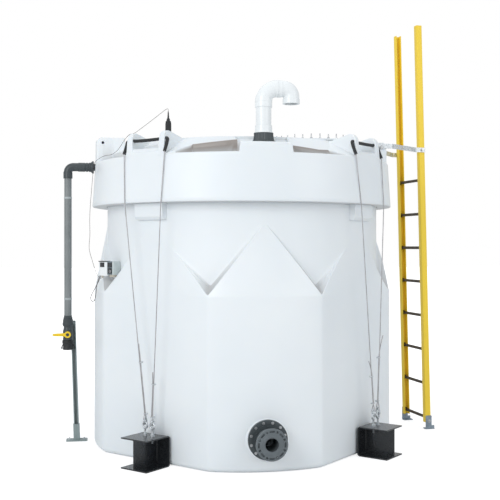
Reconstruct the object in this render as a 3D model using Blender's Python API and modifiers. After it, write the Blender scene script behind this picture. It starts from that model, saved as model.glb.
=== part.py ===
# Double-wall polyethylene storage tank with tie-downs, ladder, vent, fill line and outlet.
# Metres, +Z up. The origin is on the floor at the tank's axis, and the outlet faces -Y.
# Azimuths are in degrees: 0 is -Y (the outlet side), 90 is +X (the ladder), 270 is -X (the fill line).
# Each radial piece is shaped facing -Y, outward, and then turned about Z to its azimuth.

import math

import bmesh
import bpy
from mathutils import Matrix, Vector

for old in list(bpy.data.objects):
    bpy.data.objects.remove(old, do_unlink=True)

# Running sizes
GAP = 0.0003
SIDES = 72
QUARTERS = (0, 90, 180, 270)
LUG_AZIMUTHS = {"front_right": 45, "rear_right": 135, "rear_left": 225, "front_left": 315}

# Tank body
BODY_RADIUS = 1.25
PANEL_EDGE_AZIMUTH = 20.0
FLAT_RADIUS = BODY_RADIUS * math.cos(math.radians(45 - PANEL_EDGE_AZIMUTH))
NECK_RADIUS = 1.143
BORE_RADIUS = 1.10
CROWN_VALLEY_Z = 1.271
CROWN_PEAK_Z = 1.81
BASE_HEIGHT = 0.06
BASE_ROUNDING = 0.04
PAD_HALF_WIDTH = 0.14
PAD_RADIUS = 1.19
PAD_BOTTOM_Z = 1.845

# Overhanging top moulding
SKIRT_BOTTOM_Z = 1.965
SKIRT_BOTTOM_RADIUS = 1.263
SHOULDER_Z = 2.326
SHOULDER_RADIUS = 1.239
SKIRT_THICKNESS = 0.022
GROOVE_FLOOR_Z = 2.235
GROOVE_OUTER_RADIUS = 1.195
GROOVE_INNER_RADIUS = 1.125
RIDGE_Z = 2.385
RIDGE_RADIUS = 1.115
CREST_Z = 2.465
CREST_RADIUS = 0.98
ROOF_MIDDLE_Z = 2.478
ROOF_THICKNESS = 0.02

# Fitting blocks on the rim
BLOCK_HALF_WIDTH = 0.195
BLOCK_INNER_RADIUS = 0.975
TALL_BLOCK_INNER_RADIUS = 1.0
LOW_BLOCK_Z = 2.40
TALL_BLOCK_Z = 2.53
BOLT_HOLE_RADIUS = 0.012
BLOCK_HOLE_RADIAL = 1.18
BLOCK_HOLE_Z = 2.488

# Tie-down lugs
LUG_HALF_WIDTH = 0.19
CHEEK_THICKNESS = 0.055
LUG_TOP_Z = 2.50
LUG_NOTCH_Z = 2.375
LUG_FRONT_RADIUS = 1.252
HOSE_RADIAL = 1.195
HOSE_Z = 2.44
HOSE_RADIUS = 0.0125
HOSE_BORE_RADIUS = 0.0047
HOSE_HOLE_RADIUS = 0.0130
CABLE_RADIUS = 0.004

# Anchors
ANCHOR_HEIGHT = 0.23
ANCHOR_PLATE = 0.010
ANCHOR_INNER_RADIUS = 1.150
ANCHOR_LENGTH = 0.26
ANCHOR_WIDTH = 0.255
ANCHOR_OFFSETS = {"front_right": 0.085, "rear_right": 0.0, "rear_left": 0.0, "front_left": 0.06}
EYE_RADIAL = 1.245
EYE_SPACING = 0.072
EYE_RING_RADIUS = 0.018
EYE_WIRE_RADIUS = 0.007
EYE_RING_Z = 0.305
SHANK_RADIUS = 0.008
THIMBLE_RADIUS = 0.020

# Manway
MANWAY_AZIMUTH = 75
MANWAY_RADIAL = 0.62
MANWAY_NECK_RADIUS = 0.305
MANWAY_NECK_WALL = 0.015
MANWAY_FLANGE_RADIUS = 0.395
MANWAY_FLANGE_Z = 2.497
MANWAY_LID_TOP_Z = 2.513

# Vent
VENT_RADIAL = 1.09
VENT_FLANGE_RADIUS = 0.09
VENT_PIPE_RADIUS = 0.0572
VENT_PIPE_BORE = 0.0512
VENT_SOCKET_RADIUS = 0.0635
VENT_BASE_TOP_Z = 2.475
VENT_RISE_Z = 2.705
VENT_BEND_RADIUS = 0.104

# Level sensor
SENSOR_AZIMUTH = 314.6
SENSOR_RADIAL = 0.95

# Fill line
FILL_Z = 2.30
FILL_RADIAL = 1.470
FILL_PIPE_RADIUS = 0.0302
FILL_SOCKET_RADIUS = 0.0375
FILL_FLANGE_RADIUS = 0.052
VALVE_Z = 0.906
HUB_RADIUS = 0.030
HUB_LENGTH = 0.052
LEVER_LENGTH = 0.125
SUPPORT_RADIAL = 1.399
SUPPORT_LEAN = 0.0316
SUPPORT_BEHIND = 0.076
SUPPORT_TOP_Z = 1.01

# Outlet
OUTLET_Z = 0.245
OUTLET_BORE = 0.048
OUTLET_BOSS_FACE = 1.256
OUTLET_BOSS_RADIUS = 0.152
TANK_FLANGE_RADIUS = 0.145
TANK_FLANGE_THICKNESS = 0.03
PIPE_FLANGE_RADIUS = 0.1143
PIPE_FLANGE_FACE = 1.45
PIPE_FLANGE_THICKNESS = 0.026
FLANGE_HOLES = 8
FLANGE_HOLE_RADIUS = 0.0095
FLANGE_HOLE_CIRCLE = 0.0953

# Ladder
RAIL_HEIGHT = 3.615
RAIL_Y = {"near": 0.082, "far": 0.498}
RAIL_FOOT_X = {"near": 1.694, "far": 1.641}
RAIL_LEAN = 0.088
RAIL_SIZE = 0.052
RUNG_COUNT = 8
RUNG_FIRST_Z = 0.101
RUNG_PITCH = 0.3048
RUNG_RADIUS = 0.0127
BRACKET_THICKNESS = 0.006
BRACKET_HEIGHT = 0.041

# Leak alarm
ALARM_AZIMUTH = 291.5
ALARM_Z = 1.462

COLOURS = {
    "polyethylene": ((0.86, 0.88, 0.89, 1), 0.45, 0.0),
    "black_paint": ((0.01, 0.012, 0.014, 1), 0.25, 0.0),
    "galvanised_steel": ((0.55, 0.58, 0.60, 1), 0.4, 0.9),
    "yellow_fibreglass": ((0.83, 0.60, 0.04, 1), 0.5, 0.0),
    "grey_pvc": ((0.16, 0.19, 0.20, 1), 0.4, 0.0),
    "dark_pvc": ((0.04, 0.055, 0.06, 1), 0.4, 0.0),
    "white_pvc": ((0.88, 0.90, 0.90, 1), 0.3, 0.0),
    "black_rubber": ((0.012, 0.012, 0.012, 1), 0.6, 0.0),
    "yellow_plastic": ((0.90, 0.70, 0.06, 1), 0.4, 0.0),
    "dark_steel": ((0.07, 0.05, 0.03, 1), 0.5, 0.3),
    "grey_paint": ((0.28, 0.34, 0.34, 1), 0.5, 0.0),
}

tank = bpy.data.collections.new("storage_tank")
cutters = bpy.data.collections.new("cutters")
bpy.context.scene.collection.children.link(tank)
bpy.context.scene.collection.children.link(cutters)
cutters.hide_render = True

# An outline's x runs outward and its y up, and its depth runs sideways
SIDE_VIEW = Matrix(((0, 0, -1, 0), (-1, 0, 0, 0), (0, 1, 0, 0), (0, 0, 0, 1)))
# An outline's x runs sideways and its y up, and its depth runs outward
FRONT_VIEW = Matrix(((1, 0, 0, 0), (0, 0, -1, 0), (0, 1, 0, 0), (0, 0, 0, 1)))
UPRIGHT = Matrix.Identity(4)


def material(name):
    """The named Principled material, made once."""
    found = bpy.data.materials.get(name)
    if found:
        return found
    colour, roughness, metallic = COLOURS[name]
    made = bpy.data.materials.new(name)
    made.use_nodes = True
    shader = made.node_tree.nodes["Principled BSDF"]
    shader.inputs["Base Color"].default_value = colour
    shader.inputs["Roughness"].default_value = roughness
    shader.inputs["Metallic"].default_value = metallic
    return made


def azimuth_turn(azimuth):
    return Matrix.Rotation(math.radians(azimuth), 4, "Z")


def shift(x=0.0, y=0.0, z=0.0):
    return Matrix.Translation((x, y, z))


def add(name, mesh, finish=None, place=UPRIGHT):
    """An object in the tank's collection, or a hidden cutter where it has no finish."""
    made = bpy.data.objects.new(name, mesh)
    made.matrix_world = place
    if finish:
        tank.objects.link(made)
        mesh.materials.clear()
        mesh.materials.append(material(finish))
    else:
        cutters.objects.link(made)
        made.hide_render = True
        made.display_type = "WIRE"
    return made


def mesh_from(name, build):
    """A mesh filled by a function that works on a bmesh."""
    shape = bmesh.new()
    build(shape)
    bmesh.ops.recalc_face_normals(shape, faces=shape.faces)
    mesh = bpy.data.meshes.new(name)
    shape.to_mesh(mesh)
    shape.free()
    return mesh


def box_mesh(name, low, high):
    low = Vector(low)
    high = Vector(high)
    place = Matrix.Translation((low + high) / 2) @ Matrix.Diagonal((high - low).to_4d())
    place[3][3] = 1.0
    return mesh_from(name, lambda shape: bmesh.ops.create_cube(shape, size=1.0, matrix=place))


def drum_mesh(name, radius, start, end, sides=24, end_radius=None):
    """A cylinder or cone from start to end."""
    start = Vector(start)
    end = Vector(end)
    along = end - start
    turn = along.to_track_quat("Z", "Y").to_matrix().to_4x4()
    place = Matrix.Translation((start + end) / 2) @ turn
    last = radius if end_radius is None else end_radius
    return mesh_from(name, lambda shape: bmesh.ops.create_cone(
        shape, cap_ends=True, segments=sides, radius1=radius, radius2=last,
        depth=along.length, matrix=place))


def curve_to_mesh(name, curve, place=UPRIGHT):
    """The solid of a curve, with its caps welded to its sides."""
    guide = bpy.data.objects.new(name + "_guide", curve)
    cutters.objects.link(guide)
    guide.matrix_world = place
    bpy.context.view_layer.update()
    graph = bpy.context.evaluated_depsgraph_get()
    mesh = bpy.data.meshes.new_from_object(guide.evaluated_get(graph))
    mesh.transform(guide.matrix_world)
    bpy.data.objects.remove(guide, do_unlink=True)
    shape = bmesh.new()
    shape.from_mesh(mesh)
    bmesh.ops.remove_doubles(shape, verts=shape.verts, dist=0.00002)
    bmesh.ops.recalc_face_normals(shape, faces=shape.faces)
    shape.to_mesh(mesh)
    shape.free()
    mesh.name = name
    return mesh


def plate_mesh(name, outline, depth, view=UPRIGHT, middle=0.0):
    """A flat outline given a thickness, centred on the middle of its depth."""
    curve = bpy.data.curves.new(name, "CURVE")
    curve.dimensions = "2D"
    curve.fill_mode = "BOTH"
    curve.extrude = depth / 2
    spline = curve.splines.new("POLY")
    spline.points.add(len(outline) - 1)
    for point, (x, y) in zip(spline.points, outline):
        point.co = (x, y, 0, 1)
    spline.use_cyclic_u = True
    return curve_to_mesh(name, curve, view @ shift(z=middle))


def tube_mesh(name, points, radius, bevel_resolution=2):
    """A round rod along a list of points."""
    curve = bpy.data.curves.new(name, "CURVE")
    curve.dimensions = "3D"
    curve.bevel_depth = radius
    curve.bevel_resolution = bevel_resolution
    curve.use_fill_caps = True
    spline = curve.splines.new("POLY")
    spline.points.add(len(points) - 1)
    for point, place in zip(spline.points, points):
        point.co = (*place, 1)
    return curve_to_mesh(name, curve)


def turned(name, profile, finish=None, place=UPRIGHT, steps=SIDES):
    """A closed profile of (radius, height) points turned about Z."""
    mesh = bpy.data.meshes.new(name)
    count = len(profile)
    on_axis = profile[0][0] == 0 and profile[-1][0] == 0
    edges = [(i, (i + 1) % count) for i in range(count - 1 if on_axis else count)]
    mesh.from_pydata([(radius, 0, height) for radius, height in profile], edges, [])
    made = add(name, mesh, finish, place)
    screw = made.modifiers.new("Turn", "SCREW")
    screw.steps = steps
    screw.render_steps = steps
    screw.use_merge_vertices = True
    screw.merge_threshold = 0.00002
    screw.use_smooth_shade = False
    return made


def ring_mesh(name, ring_radius, wire_radius, middle, axis, sides=20, wire_sides=8):
    """A torus, from a small circle spun about its axis."""
    axis = Vector(axis).normalized()
    turn = axis.to_track_quat("Z", "Y").to_matrix().to_4x4()
    place = Matrix.Translation(middle) @ turn

    def build(shape):
        circle = bmesh.ops.create_circle(
            shape, segments=wire_sides, radius=wire_radius,
            matrix=shift(x=ring_radius) @ Matrix.Rotation(math.radians(90), 4, "X"))
        edges = list({edge for vert in circle["verts"] for edge in vert.link_edges})
        bmesh.ops.spin(shape, geom=circle["verts"] + edges, angle=math.tau, steps=sides,
                       axis=(0, 0, 1), cent=(0, 0, 0), use_merge=True)
        bmesh.ops.remove_doubles(shape, verts=shape.verts, dist=0.00001)
        bmesh.ops.transform(shape, matrix=place, verts=shape.verts)

    return mesh_from(name, build)


def combine(target, tool, operation):
    """A Boolean on target with a mesh or an object as its tool."""
    if isinstance(tool, bpy.types.Mesh):
        tool = add("tool_" + tool.name, tool)
        tool.matrix_world = target.matrix_world
    modifier = target.modifiers.new(operation.lower(), "BOOLEAN")
    modifier.operation = operation
    modifier.object = tool
    return target


def join(target, *tools):
    for tool in tools:
        combine(target, tool, "UNION")
    return target


def cut(target, *tools):
    for tool in tools:
        combine(target, tool, "DIFFERENCE")
    return target


def settle(target):
    """Applies an object's modifiers, so that later cuts start from a plain mesh."""
    bpy.context.view_layer.update()
    graph = bpy.context.evaluated_depsgraph_get()
    mesh = bpy.data.meshes.new_from_object(target.evaluated_get(graph))
    tools = {modifier.object for modifier in target.modifiers if modifier.type == "BOOLEAN"}
    target.modifiers.clear()
    target.data = mesh
    for tool in tools:
        if tool and tool.hide_render and tool.name.startswith("tool_"):
            bpy.data.objects.remove(tool, do_unlink=True)
    return target


def smooth(target, angle=30):
    target.data.shade_smooth()
    target.data.set_sharp_from_angle(angle=math.radians(angle))
    return target


def arc(middle_x, middle_y, radius, start, end, count):
    """Points on an arc in degrees, for an outline."""
    angles = [math.radians(start + (end - start) * i / count) for i in range(count + 1)]
    return [(middle_x + radius * math.cos(a), middle_y + radius * math.sin(a)) for a in angles]


def panel_of(azimuth):
    """The middle of the panel an azimuth falls in, and whether that panel is round or flat."""
    middle = 45 * round(azimuth / 45)
    for candidate in (middle - 45, middle, middle + 45):
        is_round = candidate % 90 == 0
        reach = PANEL_EDGE_AZIMUTH if is_round else 45 - PANEL_EDGE_AZIMUTH
        if abs(azimuth - candidate) <= reach:
            return candidate, is_round
    return middle, True


def body_radius(azimuth):
    """The distance from the axis to the outside of the lower body."""
    middle, is_round = panel_of(azimuth)
    if is_round:
        return BODY_RADIUS
    return FLAT_RADIUS / math.cos(math.radians(azimuth - middle))


def crown_height(azimuth, radial):
    """The crown's height: a gable on each panel. Above the valleys the panels lean in to the neck."""
    middle, is_round = panel_of(azimuth)
    reach = PANEL_EDGE_AZIMUTH if is_round else 45 - PANEL_EDGE_AZIMUTH
    half = BODY_RADIUS * math.sin(math.radians(reach))
    sideways = abs(radial * math.sin(math.radians(azimuth - middle)))
    return CROWN_PEAK_Z - (CROWN_PEAK_Z - CROWN_VALLEY_Z) * sideways / half


def around(name, section):
    """A mesh from one closed section of (radius, height) points at each azimuth."""

    def build(shape):
        columns = []
        for i in range(SIDES):
            azimuth = 360 * i / SIDES
            turn = math.radians(azimuth)
            columns.append([shape.verts.new((radius * math.sin(turn), -radius * math.cos(turn), z))
                            for radius, z in section(azimuth)])
        for i, column in enumerate(columns):
            following = columns[(i + 1) % SIDES]
            for k in range(len(column)):
                n = (k + 1) % len(column)
                shape.faces.new((column[k], column[n], following[n], following[k]))
        bmesh.ops.remove_doubles(shape, verts=shape.verts, dist=0.00001)

    return mesh_from(name, build)


def make_tank_base():
    """The closed floor of the tank, with its lower edge rounded."""

    def section(azimuth):
        outer = body_radius(azimuth)
        edge = outer - BASE_ROUNDING
        return [(0, 0), (edge, 0), (edge + 0.02, 0.0054), (edge + 0.0346, 0.02), (outer, 0.04),
                (outer, BASE_HEIGHT), (0, BASE_HEIGHT)]

    return smooth(add("tank_base", around("tank_base", section), "polyethylene"), 35)


def make_tank_wall():
    """The lower body under its crown, the round neck, the pads under the lugs and the bore."""
    low = BASE_HEIGHT + GAP
    neck_top = GROOVE_FLOOR_Z - ROOF_THICKNESS - GAP

    def section(azimuth):
        outer = body_radius(azimuth)
        rise = crown_height(azimuth, outer) - CROWN_VALLEY_Z
        crest = outer + (NECK_RADIUS - outer) * rise / (CROWN_PEAK_Z - CROWN_VALLEY_Z)
        return [(BORE_RADIUS, low), (outer, low), (outer, CROWN_VALLEY_Z),
                (crest, crown_height(azimuth, crest)),
                (NECK_RADIUS, crown_height(azimuth, NECK_RADIUS)), (NECK_RADIUS, neck_top),
                (BORE_RADIUS, neck_top)]

    wall = add("tank_wall", around("tank_wall", section), "polyethylene")
    for azimuth in LUG_AZIMUTHS.values():
        pad = box_mesh("pad", (-PAD_HALF_WIDTH, -PAD_RADIUS, PAD_BOTTOM_Z),
                       (PAD_HALF_WIDTH, -BORE_RADIUS - 0.015, SKIRT_BOTTOM_Z - GAP))
        pad.transform(azimuth_turn(azimuth))
        join(wall, pad)
    join(wall, drum_mesh("boss", OUTLET_BOSS_RADIUS, (0, -1.15, OUTLET_Z),
                         (0, -OUTLET_BOSS_FACE, OUTLET_Z), 40))
    settle(wall)
    cut(wall, drum_mesh("outlet_hole", OUTLET_BORE, (0, -1.0, OUTLET_Z), (0, -1.5, OUTLET_Z), 24))
    return smooth(settle(wall))


def lug_outline():
    """A lug's side view: the front follows the skirt, and the back reaches the roof."""
    slope = (SKIRT_BOTTOM_RADIUS - SHOULDER_RADIUS) / (SHOULDER_Z - SKIRT_BOTTOM_Z)
    bottom = SKIRT_BOTTOM_Z + 0.001
    under = GROOVE_FLOOR_Z - 0.008
    bend = 0.05
    bend_z = LUG_TOP_Z - bend
    front = LUG_FRONT_RADIUS - slope * (bend_z - SKIRT_BOTTOM_Z)
    inner = LUG_FRONT_RADIUS - 0.03
    outline = [(inner, bottom), (LUG_FRONT_RADIUS, bottom), (front, bend_z)]
    outline += arc(front - bend, bend_z, bend, 20, 90, 4)
    return outline + [(1.12, LUG_TOP_Z), (1.0, CREST_Z - 0.012), (1.0, under), (inner, under)]


def make_skirt():
    """The overhanging rim with its groove, the four fitting blocks and the four tie-down lugs."""
    wall = SKIRT_THICKNESS
    lip = 0.011
    under = GROOVE_FLOOR_Z - ROOF_THICKNESS
    profile = [
        (NECK_RADIUS + 0.007, SKIRT_BOTTOM_Z),
        (SKIRT_BOTTOM_RADIUS, SKIRT_BOTTOM_Z),
        (SHOULDER_RADIUS + 0.001, SHOULDER_Z - lip),
        (SHOULDER_RADIUS - lip, SHOULDER_Z),
        (GROOVE_OUTER_RADIUS + lip, SHOULDER_Z),
        (GROOVE_OUTER_RADIUS, GROOVE_FLOOR_Z),
        (GROOVE_INNER_RADIUS, GROOVE_FLOOR_Z),
        (RIDGE_RADIUS, RIDGE_Z),
        (CREST_RADIUS, CREST_Z),
        (CREST_RADIUS, CREST_Z - ROOF_THICKNESS),
        (RIDGE_RADIUS - 0.012, RIDGE_Z - 0.022),
        (GROOVE_INNER_RADIUS - 0.02, under),
        (SHOULDER_RADIUS - wall + 0.003, under),
        (SKIRT_BOTTOM_RADIUS - wall, SKIRT_BOTTOM_Z + wall),
        (NECK_RADIUS + 0.007, SKIRT_BOTTOM_Z + wall),
    ]
    skirt = turned("skirt", profile[::-1], "polyethylene")
    settle(skirt)
    for azimuth in QUARTERS:
        top = TALL_BLOCK_Z if azimuth in (90, 270) else LOW_BLOCK_Z
        inner = TALL_BLOCK_INNER_RADIUS if top == TALL_BLOCK_Z else BLOCK_INNER_RADIUS
        block = add("tool_block", box_mesh(
            "block", (-BLOCK_HALF_WIDTH, -1.4, GROOVE_FLOOR_Z - 0.008),
            (BLOCK_HALF_WIDTH, -inner, top)))
        rim = drum_mesh("rim", SHOULDER_RADIUS + 0.0035, (0, 0, 2), (0, 0, 3), SIDES,
                        SHOULDER_RADIUS - 0.03)
        combine(block, rim, "INTERSECT")
        if top == TALL_BLOCK_Z:
            cut(block, drum_mesh("bolt_hole", BOLT_HOLE_RADIUS,
                                 (-1, -BLOCK_HOLE_RADIAL, BLOCK_HOLE_Z),
                                 (1, -BLOCK_HOLE_RADIAL, BLOCK_HOLE_Z), 12))
        settle(block)
        block.data.transform(azimuth_turn(azimuth))
        join(skirt, block)
    for azimuth in LUG_AZIMUTHS.values():
        lug = add("tool_lug", plate_mesh("lug", lug_outline(), 2 * LUG_HALF_WIDTH, SIDE_VIEW))
        notch = LUG_HALF_WIDTH - CHEEK_THICKNESS
        cut(lug, box_mesh("notch", (-notch, -2.0, LUG_NOTCH_Z), (notch, -0.5, 3.0)))
        settle(lug)
        lug.data.transform(azimuth_turn(azimuth))
        join(skirt, lug)
    settle(skirt)
    for azimuth in LUG_AZIMUTHS.values():
        hole = drum_mesh("hose_hole", HOSE_HOLE_RADIUS, (-0.25, -HOSE_RADIAL, HOSE_Z),
                         (0.25, -HOSE_RADIAL, HOSE_Z), 16)
        hole.transform(azimuth_turn(azimuth))
        cut(skirt, hole)
    cut(skirt, drum_mesh("vent_seat", VENT_FLANGE_RADIUS + 0.003, (0, -VENT_RADIAL, LOW_BLOCK_Z),
                         (0, -VENT_RADIAL, 3.0), 32))
    return smooth(settle(skirt))


def make_roof():
    """The shallow dome inside the rim, with the manway's hole."""
    edge = CREST_RADIUS - GAP
    thick = ROOF_THICKNESS
    drop = 0.004
    profile = [(0, ROOF_MIDDLE_Z), (0.5, ROOF_MIDDLE_Z - drop), (edge, CREST_Z),
               (edge, CREST_Z - thick), (0.5, ROOF_MIDDLE_Z - drop - thick),
               (0, ROOF_MIDDLE_Z - thick)]
    roof = turned("roof", profile, "polyethylene")
    settle(roof)
    hole = drum_mesh("manway_hole", MANWAY_NECK_RADIUS + GAP, (0, -MANWAY_RADIAL, 2),
                     (0, -MANWAY_RADIAL, 3), 48)
    hole.transform(azimuth_turn(MANWAY_AZIMUTH))
    cut(roof, hole)
    return smooth(settle(roof))


def make_manway():
    """A flanged neck through the roof, closed by a bolted lid."""
    place = azimuth_turn(MANWAY_AZIMUTH) @ shift(y=-MANWAY_RADIAL)
    inner = MANWAY_NECK_RADIUS - MANWAY_NECK_WALL
    under = MANWAY_FLANGE_Z - 0.012
    ring = [(inner, MANWAY_FLANGE_Z), (MANWAY_FLANGE_RADIUS, MANWAY_FLANGE_Z),
            (MANWAY_FLANGE_RADIUS, under), (MANWAY_NECK_RADIUS, under),
            (MANWAY_NECK_RADIUS, 2.43), (inner, 2.43)]
    smooth(settle(turned("manway_ring", ring, "polyethylene", place, 48)))
    bottom = MANWAY_FLANGE_Z + GAP
    top = MANWAY_LID_TOP_Z
    lid = [(0, top), (MANWAY_FLANGE_RADIUS - 0.006, top), (MANWAY_FLANGE_RADIUS, top - 0.006),
           (MANWAY_FLANGE_RADIUS, bottom), (0, bottom)]
    smooth(settle(turned("manway_lid", lid, "polyethylene", place, 48)))


def bend_points(middle, start_angle, end_angle, radius, count):
    """Points on an upright arc in the X-Z plane."""
    angles = [math.radians(start_angle + (end_angle - start_angle) * i / count)
              for i in range(count + 1)]
    return [(middle[0] + radius * math.cos(a), middle[1], middle[2] + radius * math.sin(a))
            for a in angles]


def extended(points, length):
    """The points with a straight run added beyond each end."""
    first = Vector(points[0])
    last = Vector(points[-1])
    before = first + (first - Vector(points[1])).normalized() * length
    after = last + (last - Vector(points[-2])).normalized() * length
    return [tuple(before)] + [tuple(point) for point in points] + [tuple(after)]


def hollow_bend(name, points, radius, bore, finish):
    """A bent pipe with an open bore."""
    pipe = add(name, tube_mesh(name, points, radius, 4), finish)
    cut(pipe, tube_mesh(name + "_bore", extended(points, 0.01), bore, 4))
    return smooth(settle(pipe), 40)


def make_vent():
    """A flanged base, a white pipe with a socket at each end, and a U of two elbows."""
    place = shift(y=-VENT_RADIAL)
    flange_top = LOW_BLOCK_Z + 0.016
    base = [(VENT_PIPE_BORE, VENT_BASE_TOP_Z), (0.068, VENT_BASE_TOP_Z),
            (0.072, VENT_BASE_TOP_Z - 0.008), (0.072, flange_top), (VENT_FLANGE_RADIUS, flange_top),
            (VENT_FLANGE_RADIUS, LOW_BLOCK_Z + GAP), (VENT_PIPE_BORE, LOW_BLOCK_Z + GAP)]
    smooth(settle(turned("vent_base", base, "dark_pvc", place, 32)))
    low = VENT_BASE_TOP_Z + GAP
    top = VENT_RISE_Z
    socket = 0.055
    pipe = [(VENT_PIPE_BORE, top), (VENT_SOCKET_RADIUS, top), (VENT_SOCKET_RADIUS, top - 0.04),
            (VENT_PIPE_RADIUS, top - 0.042), (VENT_PIPE_RADIUS, low + socket + 0.002),
            (VENT_SOCKET_RADIUS, low + socket), (VENT_SOCKET_RADIUS, low), (VENT_PIPE_BORE, low)]
    smooth(settle(turned("vent_pipe", pipe, "white_pvc", place, 32)))
    start = top + GAP
    bend = VENT_BEND_RADIUS - 0.006
    outer = VENT_PIPE_RADIUS + 0.003
    rise = [(0, -VENT_RADIAL, start)]
    rise += bend_points((bend, -VENT_RADIAL, start + 0.003), 180, 90, bend, 7)
    rise.append((VENT_BEND_RADIUS - GAP / 2, -VENT_RADIAL, start + 0.003 + bend))
    hollow_bend("vent_elbow_rise", rise, outer, VENT_PIPE_BORE, "white_pvc")
    far = 2 * VENT_BEND_RADIUS
    fall = [(VENT_BEND_RADIUS + GAP / 2, -VENT_RADIAL, start + 0.003 + bend)]
    fall += bend_points((far - bend, -VENT_RADIAL, start + 0.003), 90, 0, bend, 7)
    fall.append((far, -VENT_RADIAL, start - 0.009))
    hollow_bend("vent_elbow_mouth", fall, outer, VENT_PIPE_BORE, "white_pvc")


def make_level_sensor():
    """A probe head on the roof behind a lug, with a strain relief on top."""
    place = azimuth_turn(SENSOR_AZIMUTH) @ shift(y=-SENSOR_RADIAL)
    profile = [(0, 2.683), (0.004, 2.683), (0.006, 2.64), (0.011, 2.635), (0.011, 2.618),
               (0.021, 2.616), (0.023, 2.61), (0.023, 2.4666), (0, 2.4666)]
    smooth(settle(turned("level_sensor", profile, "black_rubber", place, 20)))


def smooth_route(points, steps):
    """Points on a Catmull-Rom curve through the given ones."""
    places = [Vector(point) for point in points]
    places = [2 * places[0] - places[1]] + places + [2 * places[-1] - places[-2]]
    route = []
    for i in range(1, len(places) - 2):
        a, b, c, d = places[i - 1:i + 3]
        for k in range(steps):
            t = k / steps
            route.append(0.5 * (2 * b + (c - a) * t + (2 * a - 5 * b + 4 * c - d) * t * t
                                + (3 * b - a - 3 * c + d) * t ** 3))
    route.append(places[-2])
    return route


# The sensor's wire, from the strain relief over the lug's cheek and the rim to the alarm box
SENSOR_WIRE_ROUTE = [
    (-0.6764, -0.6670, 2.6836), (-0.6775, -0.6675, 2.700), (-0.697, -0.668, 2.697),
    (-0.790, -0.672, 2.622), (-0.930, -0.680, 2.513), (-0.972, -0.632, 2.5035),
    (-1.010, -0.560, 2.470), (-1.060, -0.440, 2.405), (-1.110, -0.300, 2.380),
    (-1.165, -0.238, 2.375), (-1.220, -0.232, 2.345), (-1.2535, -0.236, 2.300),
    (-1.262, -0.240, 2.200), (-1.272, -0.244, 2.080), (-1.281, -0.248, 1.965),
    (-1.285, -0.270, 1.850), (-1.283, -0.290, 1.730), (-1.288, -0.310, 1.620),
    (-1.262, -0.340, 1.520), (-1.232, -0.385, 1.430), (-1.205, -0.415, 1.388),
    (-1.190, -0.428, 1.3875),
]
SENSOR_WIRE_RADIUS = 0.0015


def make_sensor_wire():
    route = smooth_route(SENSOR_WIRE_ROUTE, 3)
    add("sensor_wire", tube_mesh("sensor_wire", route, SENSOR_WIRE_RADIUS, 2), "galvanised_steel")


def make_fill_line():
    """Grey pipe from a flange on the rim down to a ball valve and a cap."""
    turn = azimuth_turn(270)
    face = SHOULDER_RADIUS + 0.0185
    flange = add("fill_flange", drum_mesh("fill_flange", FILL_FLANGE_RADIUS, (0, -face, FILL_Z),
                                          (0, -face - 0.014, FILL_Z), 32), "dark_pvc", turn)
    join(flange, drum_mesh("socket", FILL_SOCKET_RADIUS, (0, -face - 0.012, FILL_Z),
                           (0, -face - 0.065, FILL_Z), 32))
    join(flange, drum_mesh("stub", FILL_PIPE_RADIUS, (0, -SHOULDER_RADIUS - 0.0043, FILL_Z),
                           (0, -face - 0.01, FILL_Z), 24))
    smooth(settle(flange))

    run_start = face + 0.065 + GAP
    run = add("fill_elbow", drum_mesh("run", FILL_PIPE_RADIUS, (0, -run_start, FILL_Z),
                                      (0, -FILL_RADIAL + 0.03, FILL_Z), 24), "dark_pvc", turn)
    bend_out = [(0, -FILL_RADIAL + 0.062, FILL_Z), (0, -FILL_RADIAL + 0.028, FILL_Z)]
    for point in arc(0, 0, 0.028, 75, 0, 4):
        bend_out.append((0, -FILL_RADIAL + 0.028 - point[0], FILL_Z - 0.028 + point[1]))
    bend_out.append((0, -FILL_RADIAL, FILL_Z - 0.095))
    join(run, tube_mesh("bend", bend_out, FILL_SOCKET_RADIUS, 4))
    smooth(settle(run), 40)

    pipe_top = FILL_Z - 0.095 - GAP
    pipe_bottom = VALVE_Z + 0.125
    pipe = add("fill_pipe", drum_mesh("fill_pipe", FILL_PIPE_RADIUS, (0, -FILL_RADIAL, pipe_top),
                                      (0, -FILL_RADIAL, pipe_bottom), 24), "grey_pvc", turn)
    smooth(pipe)

    top = pipe_bottom - GAP
    place = turn @ shift(y=-FILL_RADIAL)
    low = VALVE_Z - 0.048
    body = [(0, top), (0.036, top), (0.036, VALVE_Z + 0.07), (0.043, VALVE_Z + 0.066),
            (0.043, VALVE_Z + 0.028), (0.036, VALVE_Z + 0.024), (0.036, VALVE_Z - 0.024),
            (0.043, VALVE_Z - 0.028), (0.043, low), (0, low)]
    valve = turned("fill_valve", body, "dark_pvc", place, 24)
    settle(valve)
    # The hub faces the outlet side, which is sideways from this pipe
    join(valve, drum_mesh("hub", HUB_RADIUS, (0.0, 0, VALVE_Z), (HUB_LENGTH, 0, VALVE_Z), 24))
    smooth(settle(valve))
    cap_top = low - GAP
    cap = [(0, cap_top), (0.044, cap_top), (0.048, cap_top - 0.008), (0.048, cap_top - 0.072),
           (0.042, cap_top - 0.082), (0, cap_top - 0.082)]
    smooth(settle(turned("fill_cap", cap, "black_rubber", place, 24)))


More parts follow.
